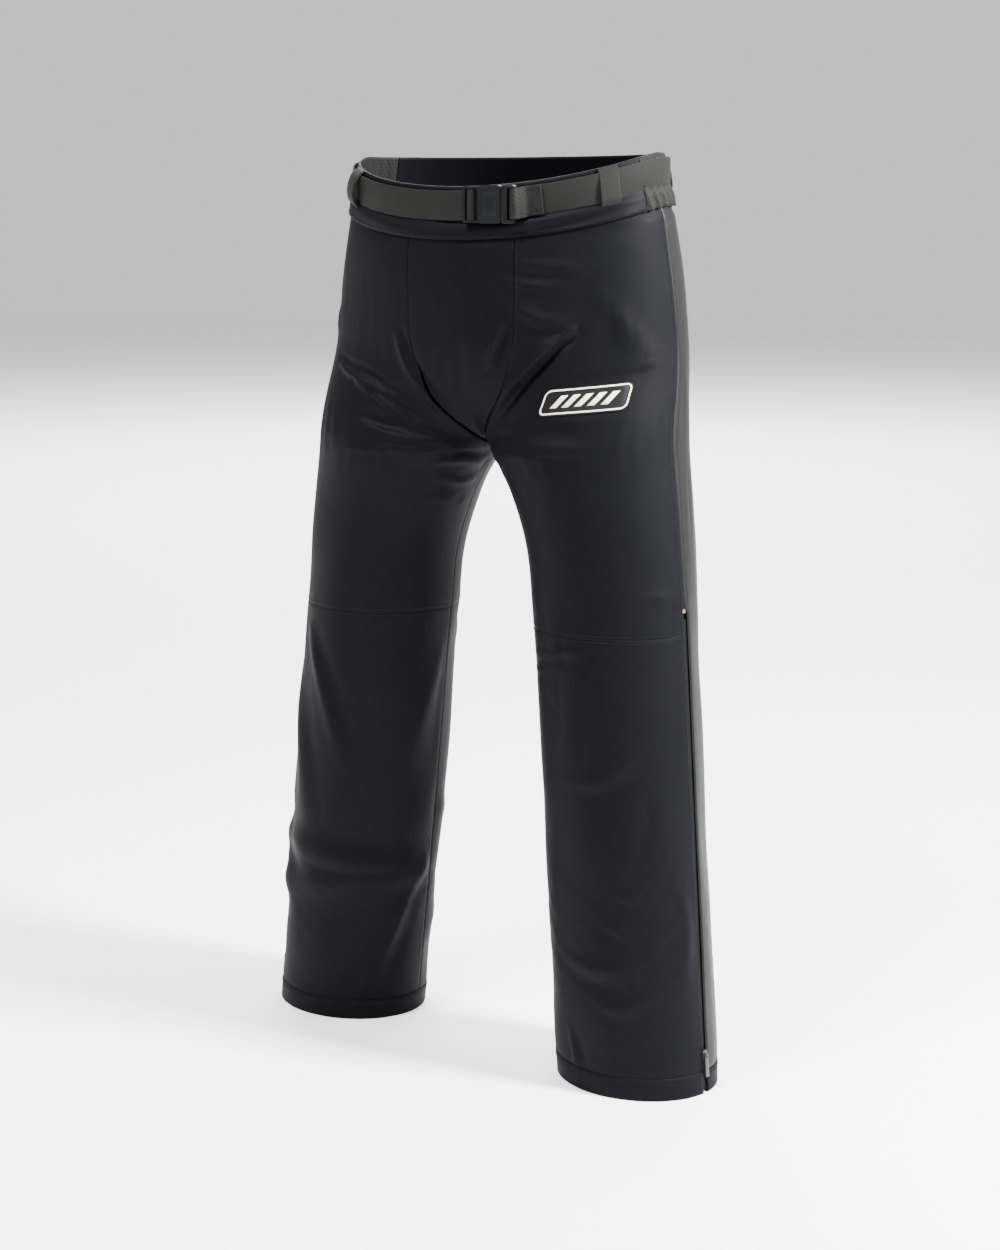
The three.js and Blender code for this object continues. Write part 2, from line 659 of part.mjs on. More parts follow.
// The webbing's folded and sewn end, which travels with the plug. It comes down from the
// plug's bar and then lies along the belt, two layers thick.
{
  buckle.updateMatrixWorld(true);
  const beltFace = (x) => {
    const angle = BUCKLE_ANGLE + x * degreesPerMm;
    const p = new THREE.Vector3(...onHip(beltZ)(angle, BELT_OUT + 2 * FIT_GAP, -WEBBING_WIDTH / 2));
    return buckle.worldToLocal(p).y;
  };
  const start = plugEnd + FIT_GAP;
  const landing = plugEnd + STUB_LANDING;
  const end = plugEnd + STUB_LENGTH;
  const layers = 2 * WEBBING;
  const shape = new THREE.Shape([
    new THREE.Vector2(start, -BUCKLE_DEPTH / 2 - WEBBING),
    new THREE.Vector2(landing, beltFace(landing) - layers),
    new THREE.Vector2(end, beltFace(end) - layers),
    new THREE.Vector2(end, beltFace(end)),
    new THREE.Vector2(landing, beltFace(landing)),
    new THREE.Vector2(start, -BUCKLE_DEPTH / 2 + WEBBING),
  ]);
  const stub = new THREE.ExtrudeGeometry(shape, { depth: WEBBING_WIDTH, bevelEnabled: false });
  stub.translate(0, 0, -WEBBING_WIDTH / 2);
  addMesh('belt_sewn_end', stub, LOOK.webbing, buckle);
}

// ---- Leg zips -----------------------------------------------------------------------------

// A round pin across the zip, at the slider's level.
function pinAt(radius, length, y) {
  const pin = new THREE.CylinderGeometry(radius, radius, length, 12);
  return toSolid(pin.rotateZ(Math.PI / 2).translate(0, y, SLIDER_Z));
}

// Each zip runs up the straight seam between shin panel and side panel.
for (const [label, side] of SIDES) {
  const foot = new THREE.Vector3(...halfPoint(side, ZIP_SEAM, 0));
  const head = new THREE.Vector3(...halfPoint(side, ZIP_SEAM, STRAIGHT_Z));
  const up = head.clone().sub(foot).normalize();
  const out = outward((u, v) => halfPoint(side, u, v), ZIP_SEAM, STRAIGHT_Z / 2, side);
  const across = new THREE.Vector3().crossVectors(up, out).normalize();
  out.crossVectors(across, up).normalize();
  const zip = new THREE.Group();
  // Local frame: +Z up the zip, -Y outwards, +X across it.
  zip.matrix.makeBasis(across, out.clone().negate(), up).setPosition(foot);
  zip.matrix.decompose(zip.position, zip.quaternion, zip.scale);
  root.add(zip);

  const halfCoil = COIL_WIDTH / 2;
  const stopHigh = ZIP_TOP - 1;
  const stopLow = stopHigh - STOP_LENGTH;
  const coilHigh = [halfCoil, COIL_SINK + COIL_DEPTH, stopLow - SEAM_GAP];
  const coil = block([-halfCoil, COIL_SINK, ZIP_BOTTOM], coilHigh);
  addMesh(`zip_coil_${label}`, coil, LOOK.zip, zip);
  const tapeTop = TAPE_SINK;
  const tapeLow = [-TAPE_WIDTH / 2, tapeTop, ZIP_BOTTOM];
  addMesh(`zip_tape_${label}`, block(tapeLow, [TAPE_WIDTH / 2, tapeTop + TAPE, ZIP_TOP]), LOOK.zip, zip);
  const stop = block([-halfCoil, COIL_SINK, stopLow], [halfCoil, COIL_SINK + COIL_DEPTH, stopHigh], 0.8);
  addMesh(`zip_end_stop_${label}`, stop, LOOK.metal, zip);

  // Slider: a plate that rides on the coil between the two cloth edges, with a drilled lug.
  const plateFace = COIL_SINK - FIT_GAP - SLIDER_DEPTH;
  const plateLow = [-SLIDER_WIDTH / 2, plateFace, SLIDER_Z - SLIDER_LENGTH / 2];
  const plateHigh = [SLIDER_WIDTH / 2, COIL_SINK - FIT_GAP, SLIDER_Z + SLIDER_LENGTH / 2];
  const plate = toSolid(block(plateLow, plateHigh, SLIDER_ROUND));
  const lug = toSolid(block(
    [-LUG / 2, plateFace - LUG_REACH, SLIDER_Z - LUG_HALF],
    [LUG / 2, plateFace + 1, SLIDER_Z + LUG_HALF],
  ));
  const hole = pinAt(PIN_RADIUS + FIT_GAP, LUG + 1, plateFace - PIN_REACH);
  addMesh(`zip_slider_${label}`, fromSolid(plate.add(lug).subtract(hole)), LOOK.metal, zip);

  // Pull tab: a flat strip forked round the lug, with the pin that it swings on.
  const tabFace = plateFace - PIN_REACH - TAB / 2;
  const tabTop = SLIDER_Z + TAB_ABOVE_PIN;
  const tabLow = [-TAB_WIDTH / 2, tabFace, tabTop - TAB_LENGTH];
  const strip = toSolid(block(tabLow, [TAB_WIDTH / 2, tabFace + TAB, tabTop]));
  const fork = toSolid(block(
    [-LUG / 2 - FIT_GAP, tabFace - 1, SLIDER_Z - LUG_HALF - 1.1],
    [LUG / 2 + FIT_GAP, tabFace + TAB + 1, tabTop + 1],
  ));
  const pin = pinAt(PIN_RADIUS, TAB_WIDTH - 1, plateFace - PIN_REACH);
  addMesh(`zip_pull_${label}`, fromSolid(strip.subtract(fork).add(pin)), LOOK.metal, zip);
}

// ---- Pads and badge -----------------------------------------------------------------------

// A pad that lies inside the cloth, thickest in its middle.
function innerPad(name, side, { from, to, low, high, thick }, cols, rows) {
  const outer = [];
  const inner = [];
  for (let r = 0; r <= rows; r += 1) {
    const v = r / rows;
    const outerRow = [];
    const innerRow = [];
    for (let c = 0; c <= cols; c += 1) {
      const u = c / cols;
      const signed = lerp(from, to, u);
      const half = signed > 360 ? -side : side;
      const angle = signed > 360 ? 720 - signed : signed;
      const z = lerp(low, high, v);
      const p = halfPoint(half, angle, z);
      const n = halfNormal(half, angle, z);
      const acrossCrown = Math.sin(Math.PI * clamp(u, 0.06, 0.94));
      const crown = Math.sqrt(acrossCrown * Math.sin(Math.PI * clamp(v, 0.06, 0.94)));
      const near = CLOTH + PAD_CLEAR;
      const far = near + thick * crown;
      outerRow.push(shifted(p, n, -near));
      innerRow.push(shifted(p, n, -far));
    }
    outer.push(outerRow);
    inner.push(innerRow);
  }
  addMesh(name, slab(outer, inner), LOOK.foam);
}
for (const [label, side] of SIDES) {
  innerPad(`hip_pad_${label}`, side, HIP_PAD, 6, 5);
  innerPad(`thigh_pad_${label}`, side, THIGH_PAD, 6, 5);
}
innerPad('tailbone_pad', 1, { ...TAIL_PAD, from: 360 - TAIL_PAD.half, to: 360 + TAIL_PAD.half }, 6, 5);

// Badge: a thin rounded patch on the left thigh, bent to the cloth under it.
{
  const cols = 8;
  const outer = [];
  const inner = [];
  for (const v of [-0.5, 0, 0.5]) {
    const outerRow = [];
    const innerRow = [];
    for (let c = 0; c <= cols; c += 1) {
      const along = (c / cols - 0.5) * BADGE.width;
      const z = BADGE.z + v * BADGE.height + along * Math.tan(rad(BADGE.tilt));
      const angle = BADGE.angle + degreesFor(1, BADGE.angle, BADGE.z, along);
      const p = halfPoint(1, angle, z);
      const n = halfNormal(1, angle, z);
      outerRow.push(shifted(p, n, BADGE.lift + BADGE.thick));
      innerRow.push(shifted(p, n, BADGE.lift));
    }
    outer.push(outerRow);
    inner.push(innerRow);
  }
  addMesh('thigh_badge', slab(outer, inner), LOOK.badge);
}

// ---- Frame --------------------------------------------------------------------------------

// The origin is the middle of the bottom of the whole object's box.
root.updateMatrixWorld(true);
const box = new THREE.Box3();
root.traverse((node) => {
  if (node.isMesh) box.expandByObject(node, true);
});
const centre = box.getCenter(new THREE.Vector3());
root.position.set(-centre.x, -centre.y, -box.min.z);

export default root;
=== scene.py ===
# %% [markdown]
# # Long hockey pants
#
# These pants stand in their worn shape, as if someone were inside them. The hard design (where each
# seam, belt part and zip lies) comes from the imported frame. This script makes what is seen: cloth with
# thickness, seams and folds, woven webbing, a moulded buckle, zips and pads.
#
# Everything is in metres. +Z is up, the wearer's front faces -Y and the wearer's left is +X.

# %% Load the frame
import json
import math

import bmesh
import bpy
import numpy as np
from mathutils import Matrix, Vector


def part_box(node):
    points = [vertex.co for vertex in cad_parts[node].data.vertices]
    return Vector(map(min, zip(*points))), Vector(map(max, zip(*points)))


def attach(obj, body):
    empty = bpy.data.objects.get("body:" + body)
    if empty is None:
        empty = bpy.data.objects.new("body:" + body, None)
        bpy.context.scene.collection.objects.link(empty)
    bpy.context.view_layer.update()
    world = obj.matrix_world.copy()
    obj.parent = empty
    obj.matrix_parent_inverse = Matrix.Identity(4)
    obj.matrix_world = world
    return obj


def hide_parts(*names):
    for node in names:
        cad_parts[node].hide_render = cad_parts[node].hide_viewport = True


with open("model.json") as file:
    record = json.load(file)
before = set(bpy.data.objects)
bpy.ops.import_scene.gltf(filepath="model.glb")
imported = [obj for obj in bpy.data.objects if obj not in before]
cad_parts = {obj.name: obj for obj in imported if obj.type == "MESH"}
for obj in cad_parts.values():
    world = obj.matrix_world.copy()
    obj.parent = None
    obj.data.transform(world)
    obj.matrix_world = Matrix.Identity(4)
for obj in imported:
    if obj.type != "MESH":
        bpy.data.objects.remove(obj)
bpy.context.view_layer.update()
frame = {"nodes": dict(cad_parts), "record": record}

SIDES = (("left", 1), ("right", -1))
MM = 0.001


# %% [markdown]
# ## The camera and the studio
#
# The pants are seen from a little above hip height and from the wearer's front left. A real product
# studio would use a white sweep and large soft lamps. Black cloth shows its shape only by what it
# reflects, so two lamps stand to the side, where they graze the cloth, and one hangs above the front,
# where it catches the crests of the folds. The colours of the cloth are set for these surroundings.

# %% Camera
CAMERA_TURN = math.radians(28.5)
CAMERA_AWAY = 2.482
CAMERA_HEIGHT = 0.965
LOOK_HEIGHT = 0.492
LOOK_ASIDE = 0.010

across = Vector((math.cos(CAMERA_TURN), math.sin(CAMERA_TURN), 0))
toward = Vector((math.sin(CAMERA_TURN), -math.cos(CAMERA_TURN), 0))
hems = [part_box("hem_left"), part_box("hem_right")]
mid_x = (hems[0][0].x + hems[1][1].x) / 2
body_shift = Vector((mid_x, 0.010, 0))

camera_data = bpy.data.cameras.new("camera")
camera_data.lens = 61.4
camera = bpy.data.objects.new("camera", camera_data)
bpy.context.scene.collection.objects.link(camera)
camera.location = body_shift + toward * CAMERA_AWAY + Vector((0, 0, CAMERA_HEIGHT))
look_at = body_shift + Vector((0, 0, LOOK_HEIGHT)) - across * LOOK_ASIDE
camera.rotation_euler = (look_at - camera.location).to_track_quat("-Z", "Y").to_euler()
bpy.context.scene.camera = camera


# %% Lamps, world and floor
def soft_lamp(name, azimuth, height, away, size, power, aim=(0, 0, 0.55)):
    turn = math.radians(azimuth)
    data = bpy.data.lights.new(name, "AREA")
    data.shape = "RECTANGLE"
    data.size, data.size_y = size
    data.energy = power
    lamp = bpy.data.objects.new(name, data)
    bpy.context.scene.collection.objects.link(lamp)
    lamp.location = Vector((math.sin(turn) * away, -math.cos(turn) * away, height))
    lamp.rotation_euler = (Vector(aim) - lamp.location).to_track_quat("-Z", "Y").to_euler()
    return lamp


soft_lamp("side_lamp", azimuth=128, height=1.5, away=2.2, size=(0.8, 1.8), power=36)
soft_lamp("key_lamp", azimuth=96, height=2.3, away=2.2, size=(0.5, 0.5), power=540)
soft_lamp("top_lamp", azimuth=-18, height=3.1, away=1.6, size=(0.8, 0.8), power=210, aim=(0, 0, 0.9))
soft_lamp("far_side_lamp", azimuth=-84, height=0.4, away=2.6, size=(0.6, 0.7), power=14, aim=(0, 0, 0.2))
soft_lamp("floor_lamp", azimuth=208, height=4.0, away=5.5, size=(5.0, 5.0), power=1100,
          aim=(-2.2, 4.0, 0.0))

world = bpy.data.worlds.new("studio")
world.use_nodes = True
background = world.node_tree.nodes["Background"]
background.inputs["Color"].default_value = (1, 1, 1, 1)
background.inputs["Strength"].default_value = 0.84
bpy.context.scene.world = world

bpy.ops.object.select_all(action="DESELECT")
bpy.ops.mesh.primitive_plane_add(size=30, location=(0, 0, 0))
floor = bpy.context.object
floor.name = "studio_floor"


# %% [markdown]
# ## Shader maths
#
# Materials here are small formulas. A class wraps a node socket, so that an expression such as
# `1 - mask * 0.3` adds the Math nodes for it.

# %% A socket that can be added and multiplied
class Value:
    def __init__(self, tree, socket):
        self.tree = tree
        self.socket = socket

    def _math(self, operation, a, b):
        node = self.tree.nodes.new("ShaderNodeMath")
        node.operation = operation
        for slot, item in zip(node.inputs, (a, b)):
            if isinstance(item, Value):
                self.tree.links.new(item.socket, slot)
            else:
                slot.default_value = item
        return Value(self.tree, node.outputs[0])

    def __add__(self, other):
        return self._math("ADD", self, other)

    def __mul__(self, other):
        return self._math("MULTIPLY", self, other)

    def __sub__(self, other):
        return self._math("SUBTRACT", self, other)

    def __rsub__(self, other):
        return self._math("SUBTRACT", other, self)

    def power(self, other):
        return self._math("POWER", self, other)

    __radd__ = __add__
    __rmul__ = __mul__


class Finish:
    """A material with its Principled shader, and one way of adding a node."""

    def __init__(self, name, colour, roughness, **uniform):
        self.material = bpy.data.materials.new(name)
        self.material.use_nodes = True
        self.tree = self.material.node_tree
        self.shader = self.tree.nodes["Principled BSDF"]
        self.material.diffuse_color = (*colour, 1)
        self.shader.inputs["Base Color"].default_value = (*colour, 1)
        self.shader.inputs["Roughness"].default_value = roughness
        for socket, value in uniform.items():
            self.shader.inputs[socket.replace("_", " ")].default_value = value

    def node(self, kind, settings=None, output=0, **inputs):
        node = self.tree.nodes.new(kind)
        for key, value in (settings or {}).items():
            setattr(node, key, value)
        for key, value in inputs.items():
            slot = node.inputs[key.replace("_", " ")]
            if isinstance(value, Value):
                self.tree.links.new(value.socket, slot)
            else:
                slot.default_value = value
        return Value(self.tree, node.outputs[output])

    def object_place(self):
        return self.node("ShaderNodeTexCoord", output=3)

    def cloth_place(self):
        return self.node("ShaderNodeUVMap", {"uv_map": "cloth"})

    def noise(self, place, scale, detail=2.0, roughness=0.5):
        return self.node("ShaderNodeTexNoise", Vector=place, Scale=scale, Detail=detail,
                         Roughness=roughness)

    def wave(self, place, scale, direction="X", **inputs):
        settings = {"bands_direction": direction}
        return self.node("ShaderNodeTexWave", settings, 1, Vector=place, Scale=scale, **inputs)

    def mixed(self, amount, dark, light):
        node = self.tree.nodes.new("ShaderNodeMix")
        node.data_type = "RGBA"
        self.tree.links.new(amount.socket, node.inputs[0])
        node.inputs[6].default_value = (*dark, 1)
        node.inputs[7].default_value = (*light, 1)
        return Value(self.tree, node.outputs[2])

    def feed(self, socket, value):
        self.tree.links.new(value.socket, self.shader.inputs[socket])

    def bump(self, height, distance, strength=1.0):
        node = self.node("ShaderNodeBump", Strength=strength, Distance=distance, Height=height)
        self.feed("Normal", node)


# %% [markdown]
# ## Finishes
#
# The cloth is a smooth two-way stretch knit: fine wales a bit under a millimetre apart, a soft satin
# sheen and hardly any colour. The webbing is a flat herringbone weave in charcoal. The buckle is
# moulded acetal, black, with a faint mould texture.

# %% Knit cloth
def knit(name, colour, roughness, sheen, gloss, wale=0.0009):
    finish = Finish(name, colour, roughness, Sheen_Weight=sheen, Sheen_Roughness=0.4,
                    Specular_IOR_Level=gloss)
    finish.shader.inputs["Sheen Tint"].default_value = (0.86, 0.86, 0.95, 1)
    place = finish.cloth_place()
    wales = finish.wave(place, 0.157 / wale)
    courses = finish.wave(place, 0.157 / (wale * 0.8), "Y")
    cloud = finish.noise(finish.object_place(), 9.0, 3.0)
    fuzz = finish.noise(finish.object_place(), 900.0, 1.0)
    lighter = [min(1, c * 1.7 + 0.0008) for c in colour]
    finish.feed("Base Color", finish.mixed(wales * 0.15 + fuzz * 0.35 + cloud * 0.4, colour, lighter))
    finish.feed("Roughness", cloud * 0.16 + fuzz * 0.08 + (roughness - 0.12))
    finish.bump(wales * 0.35 + courses * 0.2 + fuzz * 0.5, 0.00009)
    return finish.material


CLOTH = knit("stretch_knit", (0.0013, 0.0011, 0.0022), 0.60, 0.003, 0.047)
# The side panels' knit is a lighter grey than the rest. Part of that lightness is the panel's own colour, and
# part is painted light: it stands for the grazing light that falls on the side of the legs.
SIDE_CLOTH_PAINTED_LIGHT = knit("side_knit_with_painted_light", (0.0030, 0.0029, 0.0031), 0.50, 0.012, 0.10, wale=0.0011)


# %% Webbing, elastic and loop tape
def woven(name, colour, light, rib, roughness=0.72, sheen=0.12):
    finish = Finish(name, colour, roughness, Sheen_Weight=sheen, Sheen_Roughness=0.5,
                    Specular_IOR_Level=0.1)
    place = finish.cloth_place()
    ribs = finish.wave(place, 0.157 / rib, "DIAGONAL")
    cross = finish.wave(place, 0.157 / (rib * 0.9), "Y")
    fuzz = finish.noise(finish.object_place(), 700.0, 2.0)
    finish.feed("Base Color", finish.mixed(ribs * 0.35 + fuzz * 0.5, colour, light))
    finish.feed("Roughness", fuzz * 0.2 + (roughness - 0.1))
    finish.bump(ribs * 0.5 + cross * 0.3 + fuzz * 0.4, 0.00022)
    return finish.material


WEBBING = woven("charcoal_webbing", (0.0040, 0.0039, 0.0039), (0.0078, 0.0076, 0.0072), 0.0013, sheen=0.006)
LOOP_TAPE = woven("loop_tape", (0.0050, 0.0049, 0.0048), (0.0088, 0.0086, 0.0083), 0.0010, sheen=0.006)
ELASTIC = woven("ribbed_elastic", (0.0045, 0.0045, 0.0043), (0.0090, 0.0088, 0.0084), 0.0021, sheen=0.010)


# %% Plastic, metal, thread, badge
def moulded(name, colour, roughness, grain=0.00006, **uniform):
    finish = Finish(name, colour, roughness, **uniform)
    place = finish.object_place()
    speckle = finish.noise(place, 1600.0, 2.0)
    wear = finish.noise(place, 60.0, 3.0)
    lighter = [min(1, c * 1.7 + 0.001) for c in colour]
    finish.feed("Base Color", finish.mixed(wear * 0.6, colour, lighter))
    finish.feed("Roughness", wear * 0.18 + speckle * 0.08 + (roughness - 0.12))
    finish.bump(speckle, grain)
    return finish.material


BUCKLE_PLASTIC = moulded("buckle_acetal", (0.0020, 0.0020, 0.0026), 0.40, Specular_IOR_Level=0.14)
ZIP_NYLON = moulded("zip_nylon", (0.0030, 0.0030, 0.0036), 0.50, Specular_IOR_Level=0.10)
ENAMEL = moulded("zip_enamel", (0.0060, 0.0060, 0.0066), 0.38, Specular_IOR_Level=0.3)
BRASS = moulded("zip_brass", (0.26, 0.19, 0.08), 0.38, Metallic=1.0)
THREAD = moulded("thread", (0.0035, 0.0032, 0.0045), 0.6, Specular_IOR_Level=0.1)
BADGE_CREAM = moulded("badge_cream", (0.62, 0.57, 0.42), 0.55)
BADGE_BLACK = moulded("badge_black", (0.003, 0.003, 0.0035), 0.55, Specular_IOR_Level=0.1)

floor_finish = Finish("studio_sweep", (0.93, 0.93, 0.93), 0.9)
floor.data.materials.append(floor_finish.material)
print("finishes", len(bpy.data.materials))


# %% [markdown]
# ## The body's surface
#
# A half of the pants is one surface with two numbers for each place: how far round from the inseam
# (0 to 360 degrees, front first) and how high. Below the crotch it is a closed leg. Above it the
# tube opens at the inseam, and its two edges become the front and back rise seams. These are the
# same dimensions that the pattern was made with, so every cloth piece lands on its CAD solid.

# %% Dimensions of the pattern
RIM_Z = max(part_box("waistband_back")[1].z, 1e-6)
WAISTBAND_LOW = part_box("waistband_back")[0].z
CROTCH_Z = 0.711
STRAIGHT_Z = 0.560
KNEE_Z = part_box("shin_panel_left")[1].z
HEM_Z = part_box("hem_left")[1].z
FRONT_DIP = 0.037
WAISTBAND = RIM_Z - WAISTBAND_LOW
LEG_INNER = (0.116, 0.062, 0.0)
LEG_OUTER = (0.305, 0.2525, 0.229)
LEG_DEPTH = (0.080, 0.086, 0.103)
LEG_FORWARD = (0.050, 0.029, 0.022)
STRIDE = (0.027, 0.010, 0.0)
HIP_HALF, WAIST_HALF = 0.227, 0.187
FRONT_HALF, BACK_HALF = 0.112, 0.113
BELLY, SEAT = 0.008, 0.024
RISE_BLEND = 0.130
ZIP_SEAM, BACK_SEAM = 169.0, 211.0
ELASTIC_FROM, ELASTIC_TO = 72.0, 112.0
BELT_BELOW_RIM = 0.021
METRES_PER_DEGREE = 0.00152
CLOTH_THICK = 0.0013
SHUT = 0.00001
TUCKED_UP = 0.007
PANEL_HALF = 0.068


# %% Places on the surface
def along(values, z):
    hem, thigh, crotch = values
    z = np.asarray(z, float)
    straight = hem + (thigh - hem) * z / STRAIGHT_Z
    span = CROTCH_Z - STRAIGHT_Z
    t = np.clip((z - STRAIGHT_Z) / span, 0, 1)
    slope = (thigh - hem) / STRAIGHT_Z * span
    return np.where(z <= STRAIGHT_Z, straight, thigh + slope * t + (crotch - thigh - slope) * t * t)


def rim_height(waist_angle):
    return RIM_Z - FRONT_DIP * np.maximum(0, np.cos(np.radians(waist_angle))) ** 1.5


def hip(waist_angle, z):
    turn = np.radians(waist_angle)
    t = np.clip((z - CROTCH_Z) / (RIM_Z - CROTCH_Z), 0, 1.1)
    width = HIP_HALF + (WAIST_HALF - HIP_HALF) * t ** 1.7
    swell = np.sin(np.pi * (1 - t))
    depth = np.where(np.cos(turn) > 0, FRONT_HALF + BELLY * swell, BACK_HALF + SEAT * swell)
    x = width * np.sin(turn)
    y = -depth * np.cos(turn)
    return np.stack([x + body_shift.x, y + body_shift.y, z + 0 * x], -1)


def body(side, angle, z):
    angle, z = np.broadcast_arrays(np.asarray(angle, float), np.asarray(z, float))
    inward = ((1 + np.cos(np.radians(angle))) / 2) ** 2
    below = np.minimum(z, CROTCH_Z)
    eased = CROTCH_Z - 0.012 * np.log1p(np.exp(np.clip((CROTCH_Z - z) / 0.012, -30, 30)))
    low = below + (np.minimum(eased, z) - below) * (1 - inward)
    inner, outer = along(LEG_INNER, low), along(LEG_OUTER, low)
    depth = along(LEG_DEPTH, low)
    forward = along(LEG_FORWARD, low) + side * along(STRIDE, low)
    half = (outer - inner) / 2
    turn = np.radians(angle)
    x = side * (inner + half - half * np.cos(turn)) + body_shift.x
    y = -forward - depth * np.sin(turn) + body_shift.y
    s = np.clip((z - CROTCH_Z) / RISE_BLEND, 0, 1)
    blend = s * s * (3 - 2 * s) * (1 - inward) + np.sqrt(1 - (1 - s) ** 2) * inward
    hips = hip(side * angle / 2, z)
    return np.stack([x + (hips[..., 0] - x) * blend, y + (hips[..., 1] - y) * blend, z], -1)


def facing(place, a, z, side, da=0.4, dz=0.0012):
    """Outward normals of a surface given as a function of two numbers."""
    u = place(a + da, z) - place(a - da, z)
    v = place(a, z + dz) - place(a, z - dz)
    n = np.cross(u, v) * side
    return n / np.maximum(np.linalg.norm(n, axis=-1, keepdims=True), 1e-12)


def body_facing(side, angle, z):
    angle = np.clip(angle, 0.5, 359.5)
    n = facing(lambda a, h: body(side, a, h), angle, z, side)
    seam = ((angle < 1) | (angle > 359)) & (z > CROTCH_Z)
    n[..., 0] = np.where(seam, 0, n[..., 0])
    return n / np.maximum(np.linalg.norm(n, axis=-1, keepdims=True), 1e-12)


# %% [markdown]
# ## Folds
#
# Cloth over a body folds where it is pulled or where there is too much of it. A fold is described by
# the line that its crest follows, its width and its height. The lift of the cloth at a place is the
# sum of all of them, and because every panel asks the same function, folds run on across seams.

# %% Fold lines
def fold(side, line, width, height, valley=0.5, lean=1):
    """A crest along a line of (angle, height in mm), with a valley beside it."""
    return {
        "side": side, "line": line, "width": width * MM, "height": height * MM,
        "valley": valley, "lean": lean,
    }


FOLDS = [
    # wearer's left: the long pull from the thigh up to the hip, and what gathers round it
    fold(1, [(74, 846), (62, 834), (50, 812), (36, 784), (24, 754)], 4.6, 8.0, 1.5, -1),
    fold(1, [(30, 852), (25, 836), (19, 808)], 3.4, 5.0, 1.4, -1),
    fold(1, [(30, 919), (52, 915), (82, 912)], 6, 3.0, 0.9),
    fold(1, [(32, 897), (55, 892), (72, 897)], 6, 2.0, 0.7),
    fold(1, [(36, 868), (52, 858), (72, 852)], 7, 3.4, 0.9),
    fold(1, [(96, 884), (118, 838), (146, 800)], 16, 3.2, 0.5),
    fold(1, [(20, 742), (38, 735), (58, 738)], 6, 1.6, 0.7),
    # left knee and shin
    fold(1, [(34, 486), (56, 490), (86, 501)], 5, 2.6, 0.7),
    fold(1, [(30, 470), (52, 472), (70, 480)], 5, 1.8, 0.6),
    fold(1, [(120, 552), (140, 560), (160, 556)], 7, 1.4, 0.5),
    fold(1, [(62, 148), (84, 143), (110, 148)], 9, 3.2, 0.8),
    fold(1, [(74, 352), (97, 357), (128, 396)], 9, 2.4, 0.7),
    fold(1, [(104, 233), (122, 226)], 7, 2.0, 0.6),
    fold(1, [(96, 196), (112, 186)], 6, 1.8, 0.6),
    fold(1, [(88, 105), (102, 100), (122, 112)], 7, 1.8, 0.6),
    fold(1, [(60, 66), (65, 36), (68, 2)], 5, 3.4, 0.8, -1),
    fold(1, [(150, 250), (158, 190), (150, 120)], 10, 2.2, 0.6),
    # wearer's right: pulls that run down from the hip, and creases at the inner thigh
    fold(-1, [(112, 800), (84, 783), (54, 758)], 5.5, 6.4, 1.1),
    fold(-1, [(92, 781), (72, 763), (50, 738), (34, 726)], 4.5, 5.2, 1.1),
    fold(-1, [(96, 738), (76, 728), (58, 722)], 4.5, 4.0, 1.0),
    fold(-1, [(66, 722), (36, 716), (10, 719)], 4.0, 3.0, 0.9),
    fold(-1, [(52, 694), (28, 697), (6, 690)], 4.6, 3.2, 0.8),
    fold(-1, [(40, 676), (22, 670), (4, 672)], 4.0, 2.0, 0.8),
    fold(-1, [(50, 652), (26, 650), (8, 641)], 5.2, 1.4, 0.6),
    fold(-1, [(46, 838), (40, 800), (30, 770), (18, 742)], 5, 4.0, 1.6, 1),
    fold(-1, [(160, 860), (140, 846), (120, 850)], 12, 2.6, 0.6),
    # right knee and shin
    fold(-1, [(128, 486), (112, 440), (96, 380), (82, 326)], 9, 4.2, 0.7),
    fold(-1, [(150, 430), (128, 330), (118, 250)], 14, 3.4, 0.6),
    fold(-1, [(4, 480), (22, 400), (40, 310)], 15, 4.5, 0.6),
    fold(-1, [(10, 200), (26, 150), (44, 80), (58, 26)], 9, 3.6, 0.7),
    fold(-1, [(172, 250), (150, 190), (128, 130)], 14, 4.0, 0.7),
    fold(-1, [(184, 190), (180, 120), (186, 40)], 16, 4.5, 0.5),
    fold(-1, [(352, 260), (8, 190), (352, 110)], 16, 4.0, 0.5),
    # backs of both legs, where the cloth stacks behind the knee and under the seat
    fold(1, [(236, 690), (280, 672), (330, 684)], 9, 4.0, 0.7),
    fold(1, [(240, 520), (285, 505), (330, 512)], 9, 4.6, 0.8),
    fold(1, [(236, 480), (290, 470), (336, 486)], 8, 3.4, 0.8),
    fold(1, [(250, 340), (285, 240), (300, 130)], 16, 4.0, 0.6),
    fold(1, [(226, 860), (252, 800), (290, 742)], 14, 3.6, 0.6),
    fold(-1, [(236, 694), (284, 680), (328, 690)], 9, 3.8, 0.7),
    fold(-1, [(240, 528), (280, 510), (332, 520)], 9, 4.4, 0.8),
    fold(-1, [(232, 492), (286, 476), (330, 482)], 8, 3.6, 0.8),
    fold(-1, [(250, 360), (272, 250), (262, 120)], 16, 4.2, 0.6),
    fold(-1, [(228, 850), (256, 794), (294, 744)], 14, 3.4, 0.6),
]


